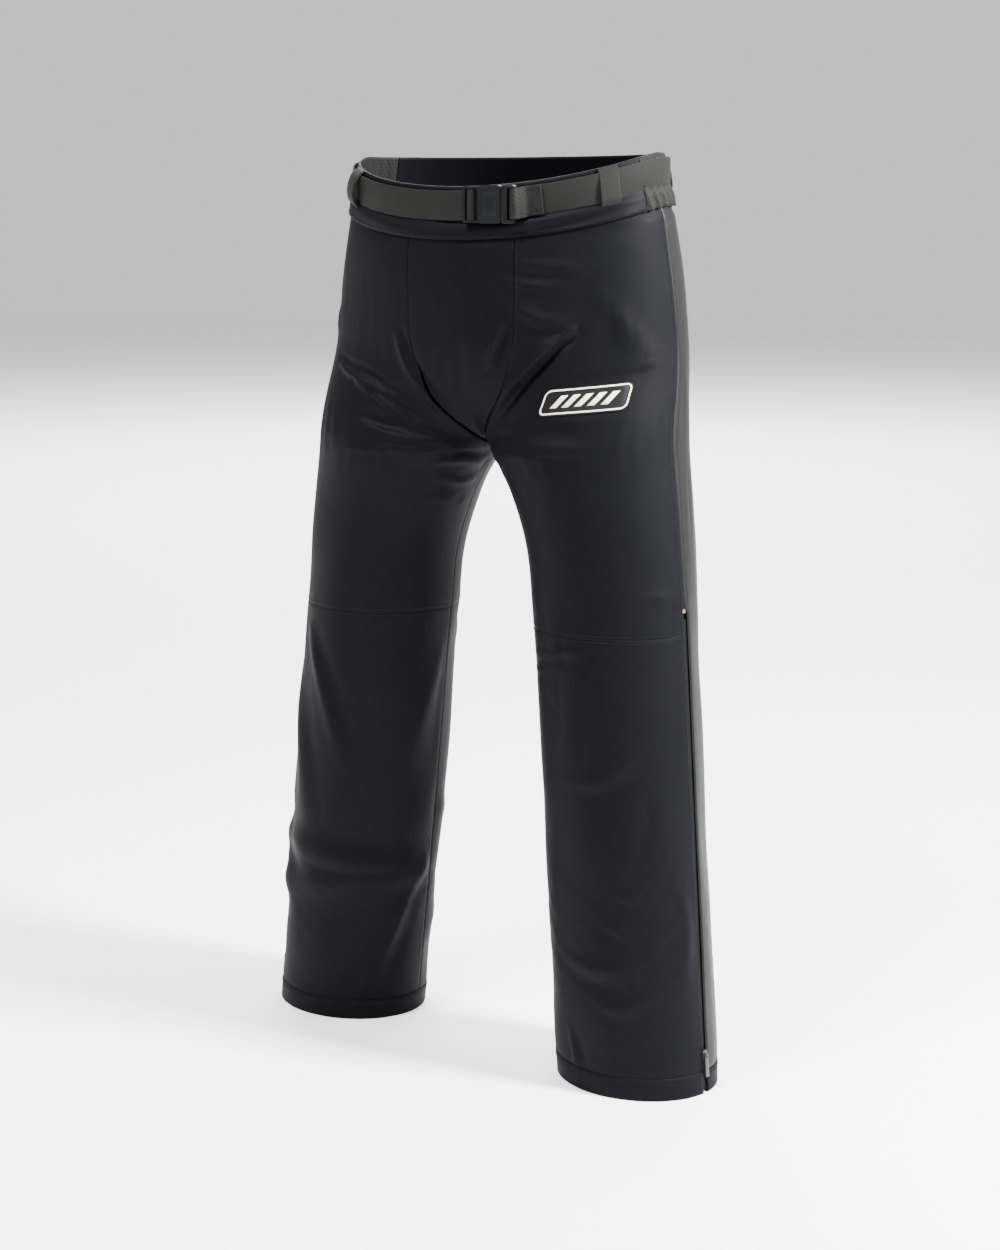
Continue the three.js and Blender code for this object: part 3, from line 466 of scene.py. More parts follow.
def fold_lift(one, angle, z):
    """Height of one fold at places given in degrees and metres."""
    line = np.array([(a * METRES_PER_DEGREE, h * MM) for a, h in one["line"]])
    lengths = np.linalg.norm(np.diff(line, axis=0), axis=1)
    total = lengths.sum()
    p = np.stack([angle * METRES_PER_DEGREE, z], -1)
    best = np.full(angle.shape, 9.0)
    signed = np.zeros(angle.shape)
    share = np.zeros(angle.shape)
    start = 0.0
    for a, b, length in zip(line[:-1], line[1:], lengths):
        run = (b - a) / length
        t = (p - a) @ run
        held = np.clip(t, 0, length)
        away = p - (a + held[..., None] * run)
        distance = np.linalg.norm(away, axis=-1)
        closer = distance < best
        best = np.where(closer, distance, best)
        turn = away[..., 0] * run[1] - away[..., 1] * run[0]
        signed = np.where(closer, np.sign(turn) * distance, signed)
        share = np.where(closer, (start + held) / total, share)
        start += length
    width = one["width"] * (0.75 + 0.5 * share)
    crest = np.exp(-((best / width) ** 2))
    beside = np.exp(-(((signed * one["lean"] - 1.9 * width) / (1.15 * width)) ** 2))
    beside = beside * np.exp(-np.maximum(0, best - 3.5 * width) / width)
    fade = np.sin(np.pi * np.clip(share * 0.88 + 0.06, 0, 1)) ** 0.8
    return one["height"] * fade * (crest - one["valley"] * 0.6 * beside)


# %% [markdown]
# Between the named folds the cloth is never quite smooth. A few slow waves, different on each leg,
# stand for that. They fade out at the waistband and the hem, where the cloth is sewn flat.

# %% The lift of the cloth
BADGE_AT = (96.0, 0.771)


def open_cloth(side, angle, z):
    """0 under the stiff badge on the left thigh, 1 a little away from it."""
    if side < 0:
        return np.ones(np.broadcast(angle, z).shape)
    u = np.abs(angle - BADGE_AT[0]) * METRES_PER_DEGREE * 1.08 / 0.062
    v = np.abs(z - BADGE_AT[1] - (angle - BADGE_AT[0]) * METRES_PER_DEGREE * 0.105) / 0.024
    away = np.clip((np.maximum(u, v) - 0.9) / 0.5, 0, 1)
    return away * away * (3 - 2 * away)


def band_swell(angle, z):
    """The part below the belt bulges a little, and is creased on both sides of the front."""
    share = np.clip((rim_height(angle) - z) / WAISTBAND, 0, 1)
    below_belt = np.clip((share - 0.62) / 0.14, 0, 1)
    below_belt = below_belt * below_belt * (3 - 2 * below_belt)
    left_height = share - 0.60 + (angle - 42) * 0.0035
    right_height = share - 0.70 - (angle + 30) * 0.004
    crease = 0.0030 * np.exp(-(((angle - 36) / 24.0) ** 2)) * np.sin(left_height * 17.0)
    crease += 0.0014 * np.exp(-(((angle + 30) / 20.0) ** 2)) * np.sin(right_height * 14.0)
    ripple = 0.0006 * np.sin(np.radians(angle) * 11.0 + share * 3.0)
    return below_belt * (0.0024 + crease + ripple)


def behind_band(angle):
    """How far out the panels' tops lie, close behind the waistband's lower edge."""
    low_edge = rim_height(angle) - WAISTBAND
    turned = np.abs(angle)
    past_front = np.clip((turned - ELASTIC_FROM + 2) / 3, 0, 1)
    before_back = np.clip((ELASTIC_TO + 2 - turned) / 3, 0, 1)
    in_elastic = past_front * before_back
    return band_swell(angle, low_edge) * (1 - 0.4 * in_elastic) - 0.0028 - 0.0012 * in_elastic


def slow_waves(side, angle, z):
    a = np.radians(angle)
    k = 1.0 if side > 0 else 1.37
    wave = np.sin(9.1 * z * k + 2.0 * a + side) * 0.9
    wave += np.sin(23.0 * z + 3.0 * a * k + 1.3 * k) * 0.55
    wave += np.sin(37.0 * z * k - 2.0 * a + 0.7) * 0.35
    wave += np.sin(61.0 * z + 5.0 * a + 2.1 * k) * 0.16
    return wave * 1.1 * MM


def lift(side, angle, z):
    angle, z = np.broadcast_arrays(np.asarray(angle, float), np.asarray(z, float))
    below_band = rim_height(side * angle / 2) - WAISTBAND
    room = np.clip((below_band - z) / 0.05, 0, 1) * np.clip((z - 0.002) / 0.05, 0, 1)
    calm = room * room * (3 - 2 * room)
    zip_line = np.clip(np.abs(angle - ZIP_SEAM) / 14.0, 0, 1)
    straight = np.where(z < STRAIGHT_Z, 0.15 + 0.85 * zip_line ** 2, 1)
    total = slow_waves(side, angle, z) * calm * straight
    for one in FOLDS:
        if one["side"] == side:
            total = total + fold_lift(one, angle, z) * np.maximum(calm, 0.35) * straight
    joined = np.clip(np.minimum(angle, 360 - angle) / 9.0, 0, 1)
    tucked = np.clip(1 - (below_band - z) / 0.012, 0, 1)
    tucked = tucked * tucked * (3 - 2 * tucked)
    loose = total * joined * open_cloth(side, angle, z)
    return loose * (1 - tucked) + behind_band(side * angle / 2) * tucked


# %% [markdown]
# ## Letting the cloth settle
#
# The named folds say where the cloth is pulled. How it creases in between comes from physics: a
# coarse copy of the whole garment, cut a little too large, settles under its own weight over a body
# form a few millimetres inside it. It is held at the waistband and the hems. Only the movement of
# each point is kept, limited to 10 mm, and the finished panels read it.

# %% A coarse copy of the garment
COLS, LEG_ROWS, HIP_ROWS = 64, 77, 15
ROWS = LEG_ROWS + HIP_ROWS
FOOT = 0.004
SPLIT = FOOT + (CROTCH_Z - FOOT) * 77 / 68
SLACK = 0.010
LARGEST_MOVE = 0.010
FORM_INSIDE = 0.0028


def coarse_grid(side, out):
    """Level rows up to above the crotch, so that the inseam meets itself, then rows that follow the rim."""
    angle = np.linspace(0, 360, COLS + 1)[None, :]
    row = np.arange(ROWS + 1)[:, None]
    top = rim_height(side * angle / 2) - WAISTBAND
    low = FOOT + (SPLIT - FOOT) * row / LEG_ROWS
    z = np.where(row <= LEG_ROWS, low, SPLIT + (top - SPLIT) * (row - LEG_ROWS) / HIP_ROWS)
    share = row / ROWS
    angle = angle + 0 * z
    n = body_facing(side, angle, z)
    return body(side, angle, z) + n * (out(side, angle, z))[..., None], share + 0 * angle


def garment_mesh(name, out):
    """Both halves as one mesh, with the inseams and the rise seams joined."""
    index, points, pins = {}, [], []
    faces, place_of = [], {}
    for side in (1, -1):
        grid, share = coarse_grid(side, out)
        ids = np.zeros(grid.shape[:2], int)
        for r in range(ROWS + 1):
            for c in range(COLS + 1):
                p = grid[r, c]
                seam = c in (0, COLS)
                key = tuple(np.round(p / 0.0004).astype(int)) if seam else (side, r, c)
                if key not in index:
                    index[key] = len(points)
                    points.append(p)
                    pins.append(share[r, c])
                ids[r, c] = index[key]
        place_of[side] = ids
        a, b = ids[:-1, :-1].ravel(), ids[:-1, 1:].ravel()
        c, d = ids[1:, 1:].ravel(), ids[1:, :-1].ravel()
        quads = np.stack([a, b, c, d], -1)
        quads = quads if side > 0 else quads[:, ::-1]
        faces += [q for q in quads.tolist() if len(set(q)) == 4]
    mesh = bpy.data.meshes.new(name)
    mesh.from_pydata([tuple(p) for p in points], [], faces)
    obj = bpy.data.objects.new(name, mesh)
    bpy.context.scene.collection.objects.link(obj)
    return obj, np.array(points), np.array(pins), place_of


# %% Settle it
DRAPE = {}


def settle(frames=26):
    cloth, start, share, place_of = garment_mesh("settling_cloth", lift)
    form = garment_mesh("body_form", lambda side, a, z: -FORM_INSIDE + np.minimum(lift(side, a, z), 0))[0]
    form.modifiers.new("form", "COLLISION")
    form.collision.thickness_outer = 0.001
    form.collision.cloth_friction = 12
    pins = cloth.vertex_groups.new(name="held")
    hold = np.maximum(np.clip((share - 0.965) / 0.02, 0, 1), np.clip((0.030 - share) / 0.012, 0, 1))
    for i, weight in enumerate(hold):
        if weight > 0:
            pins.add([i], float(weight), "REPLACE")
    modifier = cloth.modifiers.new("cloth", "CLOTH")
    settings = modifier.settings
    settings.quality = 6
    settings.mass = 0.25
    settings.tension_stiffness = 14
    settings.compression_stiffness = 14
    settings.shear_stiffness = 6
    settings.bending_stiffness = 0.9
    settings.effector_weights.gravity = 0.5
    settings.air_damping = 2
    loose = cloth.vertex_groups.new(name="loose")
    for i, height in enumerate(start[:, 2]):
        loose.add([i], float(np.clip((0.84 - height) / 0.16, 0, 1)), "REPLACE")
    settings.shrink_min = 0.0
    settings.shrink_max = -SLACK
    settings.vertex_group_shrink = "loose"
    settings.vertex_group_mass = "held"
    modifier.collision_settings.use_collision = True
    modifier.collision_settings.distance_min = 0.001
    modifier.collision_settings.use_self_collision = False
    modifier.point_cache.frame_start = 1
    modifier.point_cache.frame_end = frames
    scene = bpy.context.scene
    scene.frame_start, scene.frame_end = 1, frames
    for number in range(1, frames + 1):
        scene.frame_set(number)
    seen = cloth.evaluated_get(bpy.context.evaluated_depsgraph_get())
    end = np.array([v.co for v in seen.data.vertices])
    move = end - start
    size = np.linalg.norm(move, axis=1, keepdims=True)
    held_back = LARGEST_MOVE * np.tanh(size / LARGEST_MOVE) / np.maximum(size, 1e-9)
    move = move * np.where(size > 0, held_back, 0)
    for side, ids in place_of.items():
        DRAPE[side] = move[ids]
    scene.frame_set(1)
    bpy.data.objects.remove(cloth)
    bpy.data.objects.remove(form)
    average, most = float(size.mean()) / MM, float(size.max()) / MM
    print("settled: moved on average", round(average, 2), "mm, at most", round(most, 1))


settle()


# %% Reading the settled cloth
def settled(side, angle, z):
    """The movement of the settled cloth at a place, between the coarse points around it."""
    if side not in DRAPE:
        return np.zeros(angle.shape + (3,))
    top = rim_height(side * angle / 2) - WAISTBAND
    in_leg = (z - FOOT) / (SPLIT - FOOT) * LEG_ROWS
    in_hip = LEG_ROWS + (z - SPLIT) / (top - SPLIT) * HIP_ROWS
    r = np.clip(np.where(z < SPLIT, in_leg, in_hip), 0, ROWS)
    c = np.clip(angle / 360, 0, 1) * COLS
    r0, c0 = np.minimum(r.astype(int), ROWS - 1), np.minimum(c.astype(int), COLS - 1)
    fr, fc = (r - r0)[..., None], (c - c0)[..., None]
    fr, fc = fr * fr * (3 - 2 * fr), fc * fc * (3 - 2 * fc)
    grid = DRAPE[side]
    low = grid[r0, c0] * (1 - fc) + grid[r0, c0 + 1] * fc
    high = grid[r0 + 1, c0] * (1 - fc) + grid[r0 + 1, c0 + 1] * fc
    return low * (1 - fr) + high * fr


def near_zip(angle, z):
    """1 in open cloth, 0 beside the zip, which holds its cloth straight."""
    away = np.clip((np.abs(angle - ZIP_SEAM) - 2.0) / 16.0, 0, 1)
    above = np.clip((z - STRAIGHT_Z) / 0.06, 0, 1)
    return np.maximum(away * away * (3 - 2 * away), above)


def free_cloth(side, angle, z):
    """1 in open cloth, 0 beside the zip and above the hem and below the waistband."""
    above_hem = np.clip((z - HEM_Z) / 0.32, 0, 1)
    below_band = np.clip((rim_height(side * angle / 2) - WAISTBAND - z) / 0.19, 0, 1)
    return near_zip(angle, z) * above_hem ** 1.5 * below_band ** 1.5


def worn(side, angle, z, out=0.0):
    """The cloth's outer face, with its folds and as it has settled."""
    n = body_facing(side, angle, z)
    flat = body(side, angle, z) + n * (lift(side, angle, z) + out)[..., None]
    free = free_cloth(side, angle, z) * open_cloth(side, angle, z)
    return flat + settled(side, angle, z) * free[..., None]


# %% [markdown]
# ## Making a cloth panel
#
# A panel is cut to its seam lines, and has a front and a back face 1.3 mm apart. Its rows and
# columns crowd together near the seams, because that is where the cloth rolls under and makes the
# little valley that shows as a seam line. At the top it runs on a little way behind the waistband.

# %% A closed sheet from a grid of points
def graded(count, length, edge=0.0016):
    """Shares from 0 to 1, with extra steps close to both ends."""
    near = np.array([0, 0.45, 1.0, 1.9, 3.2]) * edge / length
    middle = np.linspace(near[-1], 1 - near[-1], count)
    return np.concatenate([near[:-1], middle, 1 - near[:-1][::-1]])


def mesh_object(name, points, faces, material, uv=None, smooth=True):
    mesh = bpy.data.meshes.new(name)
    mesh.from_pydata(points.tolist() if hasattr(points, "tolist") else points, [], faces)
    obj = bpy.data.objects.new(name, mesh)
    bpy.context.scene.collection.objects.link(obj)
    mesh.materials.append(material)
    if uv is not None:
        layer = mesh.uv_layers.new(name="cloth")
        loops = np.zeros(len(mesh.loops), np.int32)
        mesh.loops.foreach_get("vertex_index", loops)
        layer.data.foreach_set("uv", uv[loops].astype(np.float32).ravel())
    mesh.polygons.foreach_set("use_smooth", [smooth] * len(mesh.polygons))
    mesh.update()
    return obj


def face_outwards(obj):
    closed = bmesh.new()
    closed.from_mesh(obj.data)
    bmesh.ops.recalc_face_normals(closed, faces=closed.faces)
    closed.to_mesh(obj.data)
    closed.free()


def grid_faces(rows, cols, start=0, flip=False):
    r, c = np.meshgrid(np.arange(rows - 1), np.arange(cols - 1), indexing="ij")
    a = start + r * cols + c
    quads = np.stack([a, a + 1, a + cols + 1, a + cols], -1).reshape(-1, 4)
    return quads[:, ::-1] if flip else quads


def sheet_from_grid(name, outer, thickness, material, side=1, uv=None):
    """A thin closed solid: the grid, the grid moved inwards, and a rim between them."""
    rows, cols = outer.shape[:2]
    u = np.gradient(outer, axis=1)
    v = np.gradient(outer, axis=0)
    n = np.cross(u, v) * side
    n /= np.maximum(np.linalg.norm(n, axis=-1, keepdims=True), 1e-12)
    inner = outer - n * thickness
    points = np.concatenate([outer.reshape(-1, 3), inner.reshape(-1, 3)])
    count = rows * cols
    faces = [grid_faces(rows, cols, 0, side < 0), grid_faces(rows, cols, count, side > 0)]
    ring = np.concatenate([
        np.arange(cols),
        np.arange(1, rows) * cols + cols - 1,
        (rows - 1) * cols + np.arange(cols - 2, -1, -1),
        np.arange(rows - 2, 0, -1) * cols,
    ])
    after = np.roll(ring, -1)
    rim = np.stack([ring, ring + count, after + count, after], -1)
    faces.append(rim if side > 0 else rim[:, ::-1])
    faces = np.concatenate(faces).tolist()
    both = None if uv is None else np.concatenate([uv.reshape(-1, 2)] * 2)
    return mesh_object(name, points, faces, material, both)


def seam_dip(distance, depth=0.0007, width=0.0017):
    return -depth * np.exp(-((distance / width) ** 2))


def cloth_uv(angle, z):
    return np.stack([angle * METRES_PER_DEGREE, z + 0 * angle], -1)


# %% Panels of one half
def panel(name, side, edges, low, high, material, roll, step=0.0036):
    """A cloth panel between two seam lines, each a function of height that gives degrees."""
    edge_from, edge_to = edges
    middle = 0.5 * (edge_from(0.5 * (low + 0.9)) + edge_to(0.5 * (low + 0.9)))
    def top(a):
        return rim_height(side * a / 2) - WAISTBAND + TUCKED_UP if high is None else high + 0 * a

    tall = float(top(np.array(middle))) - low
    rows = graded(int(tall / step), tall)
    widest = (edge_to(low) - edge_from(low)) * METRES_PER_DEGREE
    cols = graded(max(6, int(widest / step)), widest)
    base = low + tall * rows[:, None]
    start, end = edge_from(base), edge_to(base)
    angle = start + (end - start) * cols[None, :]
    z = low + (top(angle) - low) * rows[:, None]
    from_edge = (angle - start) * METRES_PER_DEGREE
    to_edge = (end - angle) * METRES_PER_DEGREE
    dip = roll[0] * seam_dip(from_edge) + roll[1] * seam_dip(to_edge)
    dip = dip + roll[2] * seam_dip(z - low) + roll[3] * seam_dip(top(angle) - z)
    outer = worn(side, angle, z, dip)
    obj = sheet_from_grid(name, outer, CLOTH_THICK, material, side, cloth_uv(angle, z))
    area = sum(f.area for f in obj.data.polygons) / 2
    return obj, area, tall


def inset(metres):
    return metres / METRES_PER_DEGREE


def straight_seam(angle, gap=SHUT):
    return lambda z: angle + inset(gap) + 0 * np.asarray(z, float)


ZIP_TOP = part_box("zip_tape_left")[1].z
ZIP_EDGE = 0.0042


def zip_seam(sign):
    """The cloth's edge beside the zip: set back from the coil, and closing above it."""
    def edge(z):
        z = np.asarray(z, float)
        closed = np.clip((z - ZIP_TOP + 0.004) / 0.005, 0, 1)
        return ZIP_SEAM + sign * inset(ZIP_EDGE * (1 - closed) + SHUT)
    return edge


def centre_edge(z):
    """Edge of the centre front panel, in degrees: straight, then sweeping in to the crotch."""
    z = np.asarray(z, float)
    t = np.clip((z - CROTCH_Z - 0.009) / (0.850 - CROTCH_Z - 0.009), 0, 1)
    width = PANEL_HALF * np.sin(t * np.pi / 2) ** 0.8
    at = np.maximum(z, CROTCH_Z + 0.060)
    per_degree = np.linalg.norm(body(1, 12.5 + 0 * at, at) - body(1, 11.5 + 0 * at, at), axis=-1)
    return width / per_degree


FRONT_TO_ZIP = (straight_seam(0), zip_seam(-1))
CENTRE_TO_ZIP = (lambda z: centre_edge(z) + 0.007, zip_seam(-1))
ZIP_TO_BACK = (zip_seam(1), straight_seam(BACK_SEAM, -SHUT))
BACK_TO_INSEAM = (straight_seam(BACK_SEAM), straight_seam(360, -SHUT))

# its two seam lines, its lower and upper end (None is the waistband), its cloth, and how deep each
# edge rolls under: first line, second line, lower end, upper end
PANELS = {
    "shin_panel": (FRONT_TO_ZIP, HEM_Z, KNEE_Z, CLOTH, (1, 1, 1, 0.4)),
    "thigh_panel": (CENTRE_TO_ZIP, KNEE_Z, None, CLOTH, (0.35, 1, 0.4, 1)),
    "side_panel": (ZIP_TO_BACK, HEM_Z, None, SIDE_CLOTH_PAINTED_LIGHT, (1, 1, 1, 1)),
    "calf_panel": (BACK_TO_INSEAM, HEM_Z, KNEE_Z, CLOTH, (1, 1, 1, 0.4)),
    "seat_panel": (BACK_TO_INSEAM, KNEE_Z, None, CLOTH, (1, 1, 0.4, 1)),
}
cloth_pieces = {}


def declare_cloth(obj, node, area, tall):
    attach(obj, "root")
    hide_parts(node)
    flat = (round(area / tall * 1.08, 3), round(tall, 3))
    cloth_pieces[obj.name] = (flat, round(area, 4))


for label, side in SIDES:
    for kind, (edges, low, high, material, roll) in PANELS.items():
        node = f"{kind}_{label}"
        obj, area, tall = panel(f"cloth_{node}", side, edges, low, high, material, roll)
        declare_cloth(obj, node, area, tall)


# %% Centre front panel
def centre_panel():
    low = CROTCH_Z + 0.0098

    def top(a):
        return rim_height(a / 2) - WAISTBAND + TUCKED_UP

    tall = float(top(np.array(0.0))) - low
    rows = graded(int(tall / 0.0032), tall)[:, None]
    share = (graded(40, 0.13) * 2 - 1)[None, :]
    base = low + tall * rows
    edge = centre_edge(base) - 0.007
    angle = share * edge
    z = low + (top(angle) - low) * rows
    signs = np.where(angle < 0, -1, 1)
    points = np.zeros(angle.shape + (3,))
    to_edge = (edge - np.abs(angle)) * METRES_PER_DEGREE
    dip = seam_dip(to_edge) * 0.35 + seam_dip(top(angle) - z)
    for side in (1, -1):
        points = np.where((signs == side)[..., None], worn(side, np.abs(angle), z, dip), points)
    obj = sheet_from_grid("cloth_centre_front_panel", points, CLOTH_THICK, CLOTH, 1, cloth_uv(angle, z))
    area = sum(f.area for f in obj.data.polygons) / 2
    declare_cloth(obj, "centre_front_panel", area, tall)


centre_panel()
print("cloth panels", len(cloth_pieces))


# %% [markdown]
# ## Strips: waistband, hems, belt and loops
#
# These are long narrow pieces with one section all the way along. A strip is swept: at every station
# its section, a list of (outwards, upwards) points, is placed on the surface.

# %% Sweep a section along stations
def swept(name, stations, section, place, material, closed=False):
    """place(station, outwards, upwards) gives points. The section runs anticlockwise seen end on."""
    out = np.array([s[0] for s in section])
    up = np.array([s[1] for s in section])
    rings = np.array([place(s, out, up) for s in stations])
    count, k = rings.shape[:2]
    round_it = np.concatenate([[0], np.cumsum(np.hypot(np.diff(out), np.diff(up)))])
    steps = np.linalg.norm(np.diff(rings[:, 0], axis=0), axis=1)
    run = np.concatenate([[0], np.cumsum(steps)])
    uv = np.stack(np.broadcast_arrays(run[:, None], round_it[None, :]), -1).reshape(-1, 2)
    faces = []
    last = count if closed else count - 1
    for r in range(last):
        n = (r + 1) % count
        for j in range(k):
            j1 = (j + 1) % k
            faces.append((r * k + j, n * k + j, n * k + j1, r * k + j1))
    if not closed:
        faces.append(tuple(range(k)))
        faces.append(tuple(range((count - 1) * k + k - 1, (count - 1) * k - 1, -1)))
    obj = mesh_object(name, rings.reshape(-1, 3), faces, material, uv)
    face_outwards(obj)
    return obj


def rounded_strip(inside, outside, low, high, round_by, steps=3):
    """A flat section with rounded long edges."""
    points = []
    r = min(round_by, (outside - inside) / 2.001, (high - low) / 2.001)
    corners = (
        (outside - r, high - r, 0), (inside + r, high - r, 90),
        (inside + r, low + r, 180), (outside - r, low + r, 270),
    )
    for x, y, start in corners:
        for i in range(steps + 1):
            turn = math.radians(start + 90 * i / steps)
            points.append((x + r * math.cos(turn), y + r * math.sin(turn)))
    return points


def waist_place(line_height, swell=None):
    """Places a section on the hip's oval, following its lean."""
    def place(angle, out, up):
        z = line_height(angle) + up
        a = np.full(z.shape, float(angle))
        n = facing(hip, a, z, 1)
        n[..., 2] = 0
        n /= np.linalg.norm(n, axis=-1, keepdims=True)
        extra = 0 if swell is None else swell(angle, z)
        return hip(a, z) + n * (out + extra)[..., None]
    return place


def finish_piece(obj, slot, *nodes, body_name="root"):
    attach(obj, body_name)
    if nodes:
        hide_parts(*nodes)
    return obj


# %% [markdown]
# The waistband is a doubled band of the same knit. Its lower edge stands a little proud of the
# panels, which are tucked up behind it, and the front is creased on both sides of the buckle.

# %% Waistband
def gathered(angle, z):
    """Pleats of the side elastic, deep below the belt and pressed shallow behind it."""
    share = np.clip((rim_height(angle) - z) / WAISTBAND, 0, 1)
    depth = 0.0004 + 0.0013 * np.clip((share - 0.60) / 0.2, 0, 1)
    pleat = depth * np.sin(np.radians(angle) * 58.0 + 2.2 * np.sin(share * 3.0))
    return pleat + band_swell(angle, z) * 0.6


def tall_strip(inside, outside, low, high, rows):
    """A section with many points up its faces, so that it can swell and crease."""
    ups = np.linspace(low + 0.0006, high - 0.0006, rows)
    front = [(outside, u) for u in ups]
    back = [(inside, u) for u in ups[::-1]]
    mid = (inside + outside) / 2
    return front + [(mid, high)] + back + [(mid, low)]


BAND_SECTION = tall_strip(-0.0024, 0.0002, -WAISTBAND, 0, 22)


def band(node, start, end, material, slot, swell):
    gap = 0.05
    stations = np.linspace(start + gap, end - gap, int(abs(end - start) / 0.8) + 2)
    place = waist_place(rim_height, swell)
    obj = swept(f"cloth_{node}", stations, BAND_SECTION, place, material)
    return finish_piece(obj, slot, node)


band("waistband_front", -ELASTIC_FROM, ELASTIC_FROM, CLOTH, "stretch_cloth", band_swell)
band("waistband_back", ELASTIC_TO, 360 - ELASTIC_TO, CLOTH, "stretch_cloth", band_swell)
band("side_elastic_left", ELASTIC_FROM, ELASTIC_TO, ELASTIC, "gathered_elastic", gathered)
band("side_elastic_right", -ELASTIC_TO, -ELASTIC_FROM, ELASTIC, "gathered_elastic", gathered)


# %% [markdown]
# The hem is turned up and stitched, so it is twice as thick as the leg and slightly stiffer. It is
# open where the zip runs out of it.

# %% Hems
def hem(label, side):
    gap = inset(ZIP_EDGE)
    stations = np.linspace(ZIP_SEAM + gap, ZIP_SEAM + 360 - gap, 150)
    rows = 9

    def place(angle, out, up):
        a = np.full(up.shape, float(angle % 360))
        z = np.maximum(up, 0)
        n = body_facing(side, a, z)
        n[..., 2] = 0
        n /= np.linalg.norm(n, axis=-1, keepdims=True)
        return body(side, a, z) + n * (out + lift(side, a, z + 0.0))[..., None]

    section = tall_strip(-0.0022, 0.0002, 0.0, HEM_Z + 0.0006, rows)
    obj = swept(f"cloth_hem_{label}", stations[::-1] if side < 0 else stations, section, place, CLOTH)
    return finish_piece(obj, "stretch_cloth", f"hem_{label}")


for label, side in SIDES:
    hem(label, side)


# %% [markdown]
# ## Belt
#
# Flat 32 mm webbing runs round the waist, 21 mm below the rim. It comes up to the buckle on the
# wearer's right, goes over the middle bar of the ladder lock, and back down behind it.

# %% The buckle's own frame
def belt_height(angle):
    return rim_height(angle) - BELT_BELOW_RIM


BUCKLE_ANGLE = 12.0
WEB_HALF = 0.016
joints = {joint["name"]: joint for joint in frame["record"]["behaviour"]["joints"]}
plug_axis = Vector(joints["buckle_plug_slide"]["axis"])
outwards = Vector((plug_axis.y, -plug_axis.x, 0)).normalized()
socket_low, socket_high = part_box("buckle_socket")
buckle_z = (socket_low.z + socket_high.z) / 2
belt_middle = np.array(float(belt_height(BUCKLE_ANGLE)))
belt_point = Vector(hip(np.array(BUCKLE_ANGLE), belt_middle).tolist())
buckle_frame = Matrix((
    (plug_axis.x, -outwards.x, 0, belt_point.x + outwards.x * 0.0034),
    (plug_axis.y, -outwards.y, 0, belt_point.y + outwards.y * 0.0034),
    (0, 0, 1, buckle_z),
    (0, 0, 0, 1),
))
degrees_per_metre = 1 / float(np.linalg.norm(
    hip(np.array(BUCKLE_ANGLE + 0.5), np.array(buckle_z)) - hip(np.array(BUCKLE_ANGLE - 0.5), np.array(buckle_z))
))
print("buckle at", [round(v, 4) for v in buckle_frame.translation])


# %% Ribbons: webbing along any line
def smooth_path(points, steps=10):
    """A rounded line through the given points."""
    points = np.array(points, float)
    spans = len(points) - 1
    fine = []
    for i in range(spans):
        p0, p1 = points[max(i - 1, 0)], points[i]
        p2, p3 = points[i + 1], points[min(i + 2, spans)]
        for j in range(steps):
            t = j / steps
            bend = (2 * p0 - 5 * p1 + 4 * p2 - p3) * t ** 2 + (3 * p1 - p0 - 3 * p2 + p3) * t ** 3
            fine.append(0.5 * (2 * p1 + (p2 - p0) * t + bend))
    fine.append(points[-1])
    return np.array(fine)


def ribbon(name, line, width, thickness, material):
    """A strap of a flat, round-edged section along a line of places, standing on its edge."""
    line = np.array(line, float)
    run = np.gradient(line, axis=0)
    run /= np.linalg.norm(run, axis=1, keepdims=True)
    face = np.cross(run, np.array([0, 0, 1.0]))
    face /= np.linalg.norm(face, axis=1, keepdims=True)
    rise = np.cross(face, run)
    section = rounded_strip(-thickness / 2, thickness / 2, -width / 2, width / 2, thickness * 0.42)

    def place(i, out, up):
        return line[i] + face[i] * out[:, None] + rise[i] * up[:, None]

    return swept(name, range(len(line)), section, place, material)


def in_buckle(x, y, z=0.0):
    return (buckle_frame @ Vector((x, y, z))).to_tuple()


def band_depth(x):
    """Where the waistband's face lies behind the buckle, at a distance x along it."""
    angle = BUCKLE_ANGLE + x * degrees_per_metre
    p = Vector(hip(np.array(float(angle)), np.array(float(belt_height(angle)))).tolist())
    return (buckle_frame.inverted() @ p).y


def strap_height(x):
    angle = BUCKLE_ANGLE + x * degrees_per_metre
    return float(belt_height(angle)) - buckle_z


# %% The belt, threaded through the ladder lock
def belt():
    line = []
    first = BUCKLE_ANGLE + 0.012 * degrees_per_metre
    last = BUCKLE_ANGLE + 360 - 0.075 * degrees_per_metre
    for angle in np.linspace(first, last, 260):
        a, z = np.array(float(angle)), np.array(float(belt_height(angle)))
        n = facing(hip, a, z, 1)
        n[2] = 0
        n /= np.linalg.norm(n)
        ease = 0.0004 * math.sin(math.radians(angle) * 9.0)
        line.append(hip(a, z) + n * (0.0022 + ease))
    lock = [(-0.062, 0.0040), (-0.048, 0.0044), (-0.037, 0.0046)]
    lock = [(x, band_depth(x) - lift_off) for x, lift_off in lock]
    lock += [(-0.0295, -0.0008), (-0.0262, -0.0035), (-0.0238, -0.0074), (-0.0208, -0.0082)]
    lock += [(-0.0182, -0.0070), (-0.0165, -0.0030), (-0.0178, 0.0006), (-0.0240, 0.0016)]
    lock += [(x, band_depth(x) - 0.0016) for x in (-0.034, -0.048, -0.062)]
    rise = lambda x: strap_height(x) if x < -0.035 else strap_height(-0.035) * 0.5
    threaded = [in_buckle(x, y, rise(x)) for x, y in lock]
    line = np.concatenate([np.array(line), smooth_path([line[-1]] + threaded, 8)[3:]])
    obj = ribbon("belt_webbing_strap", line, 2 * WEB_HALF, 0.0016, WEBBING)
    return finish_piece(obj, "webbing", "belt_webbing")


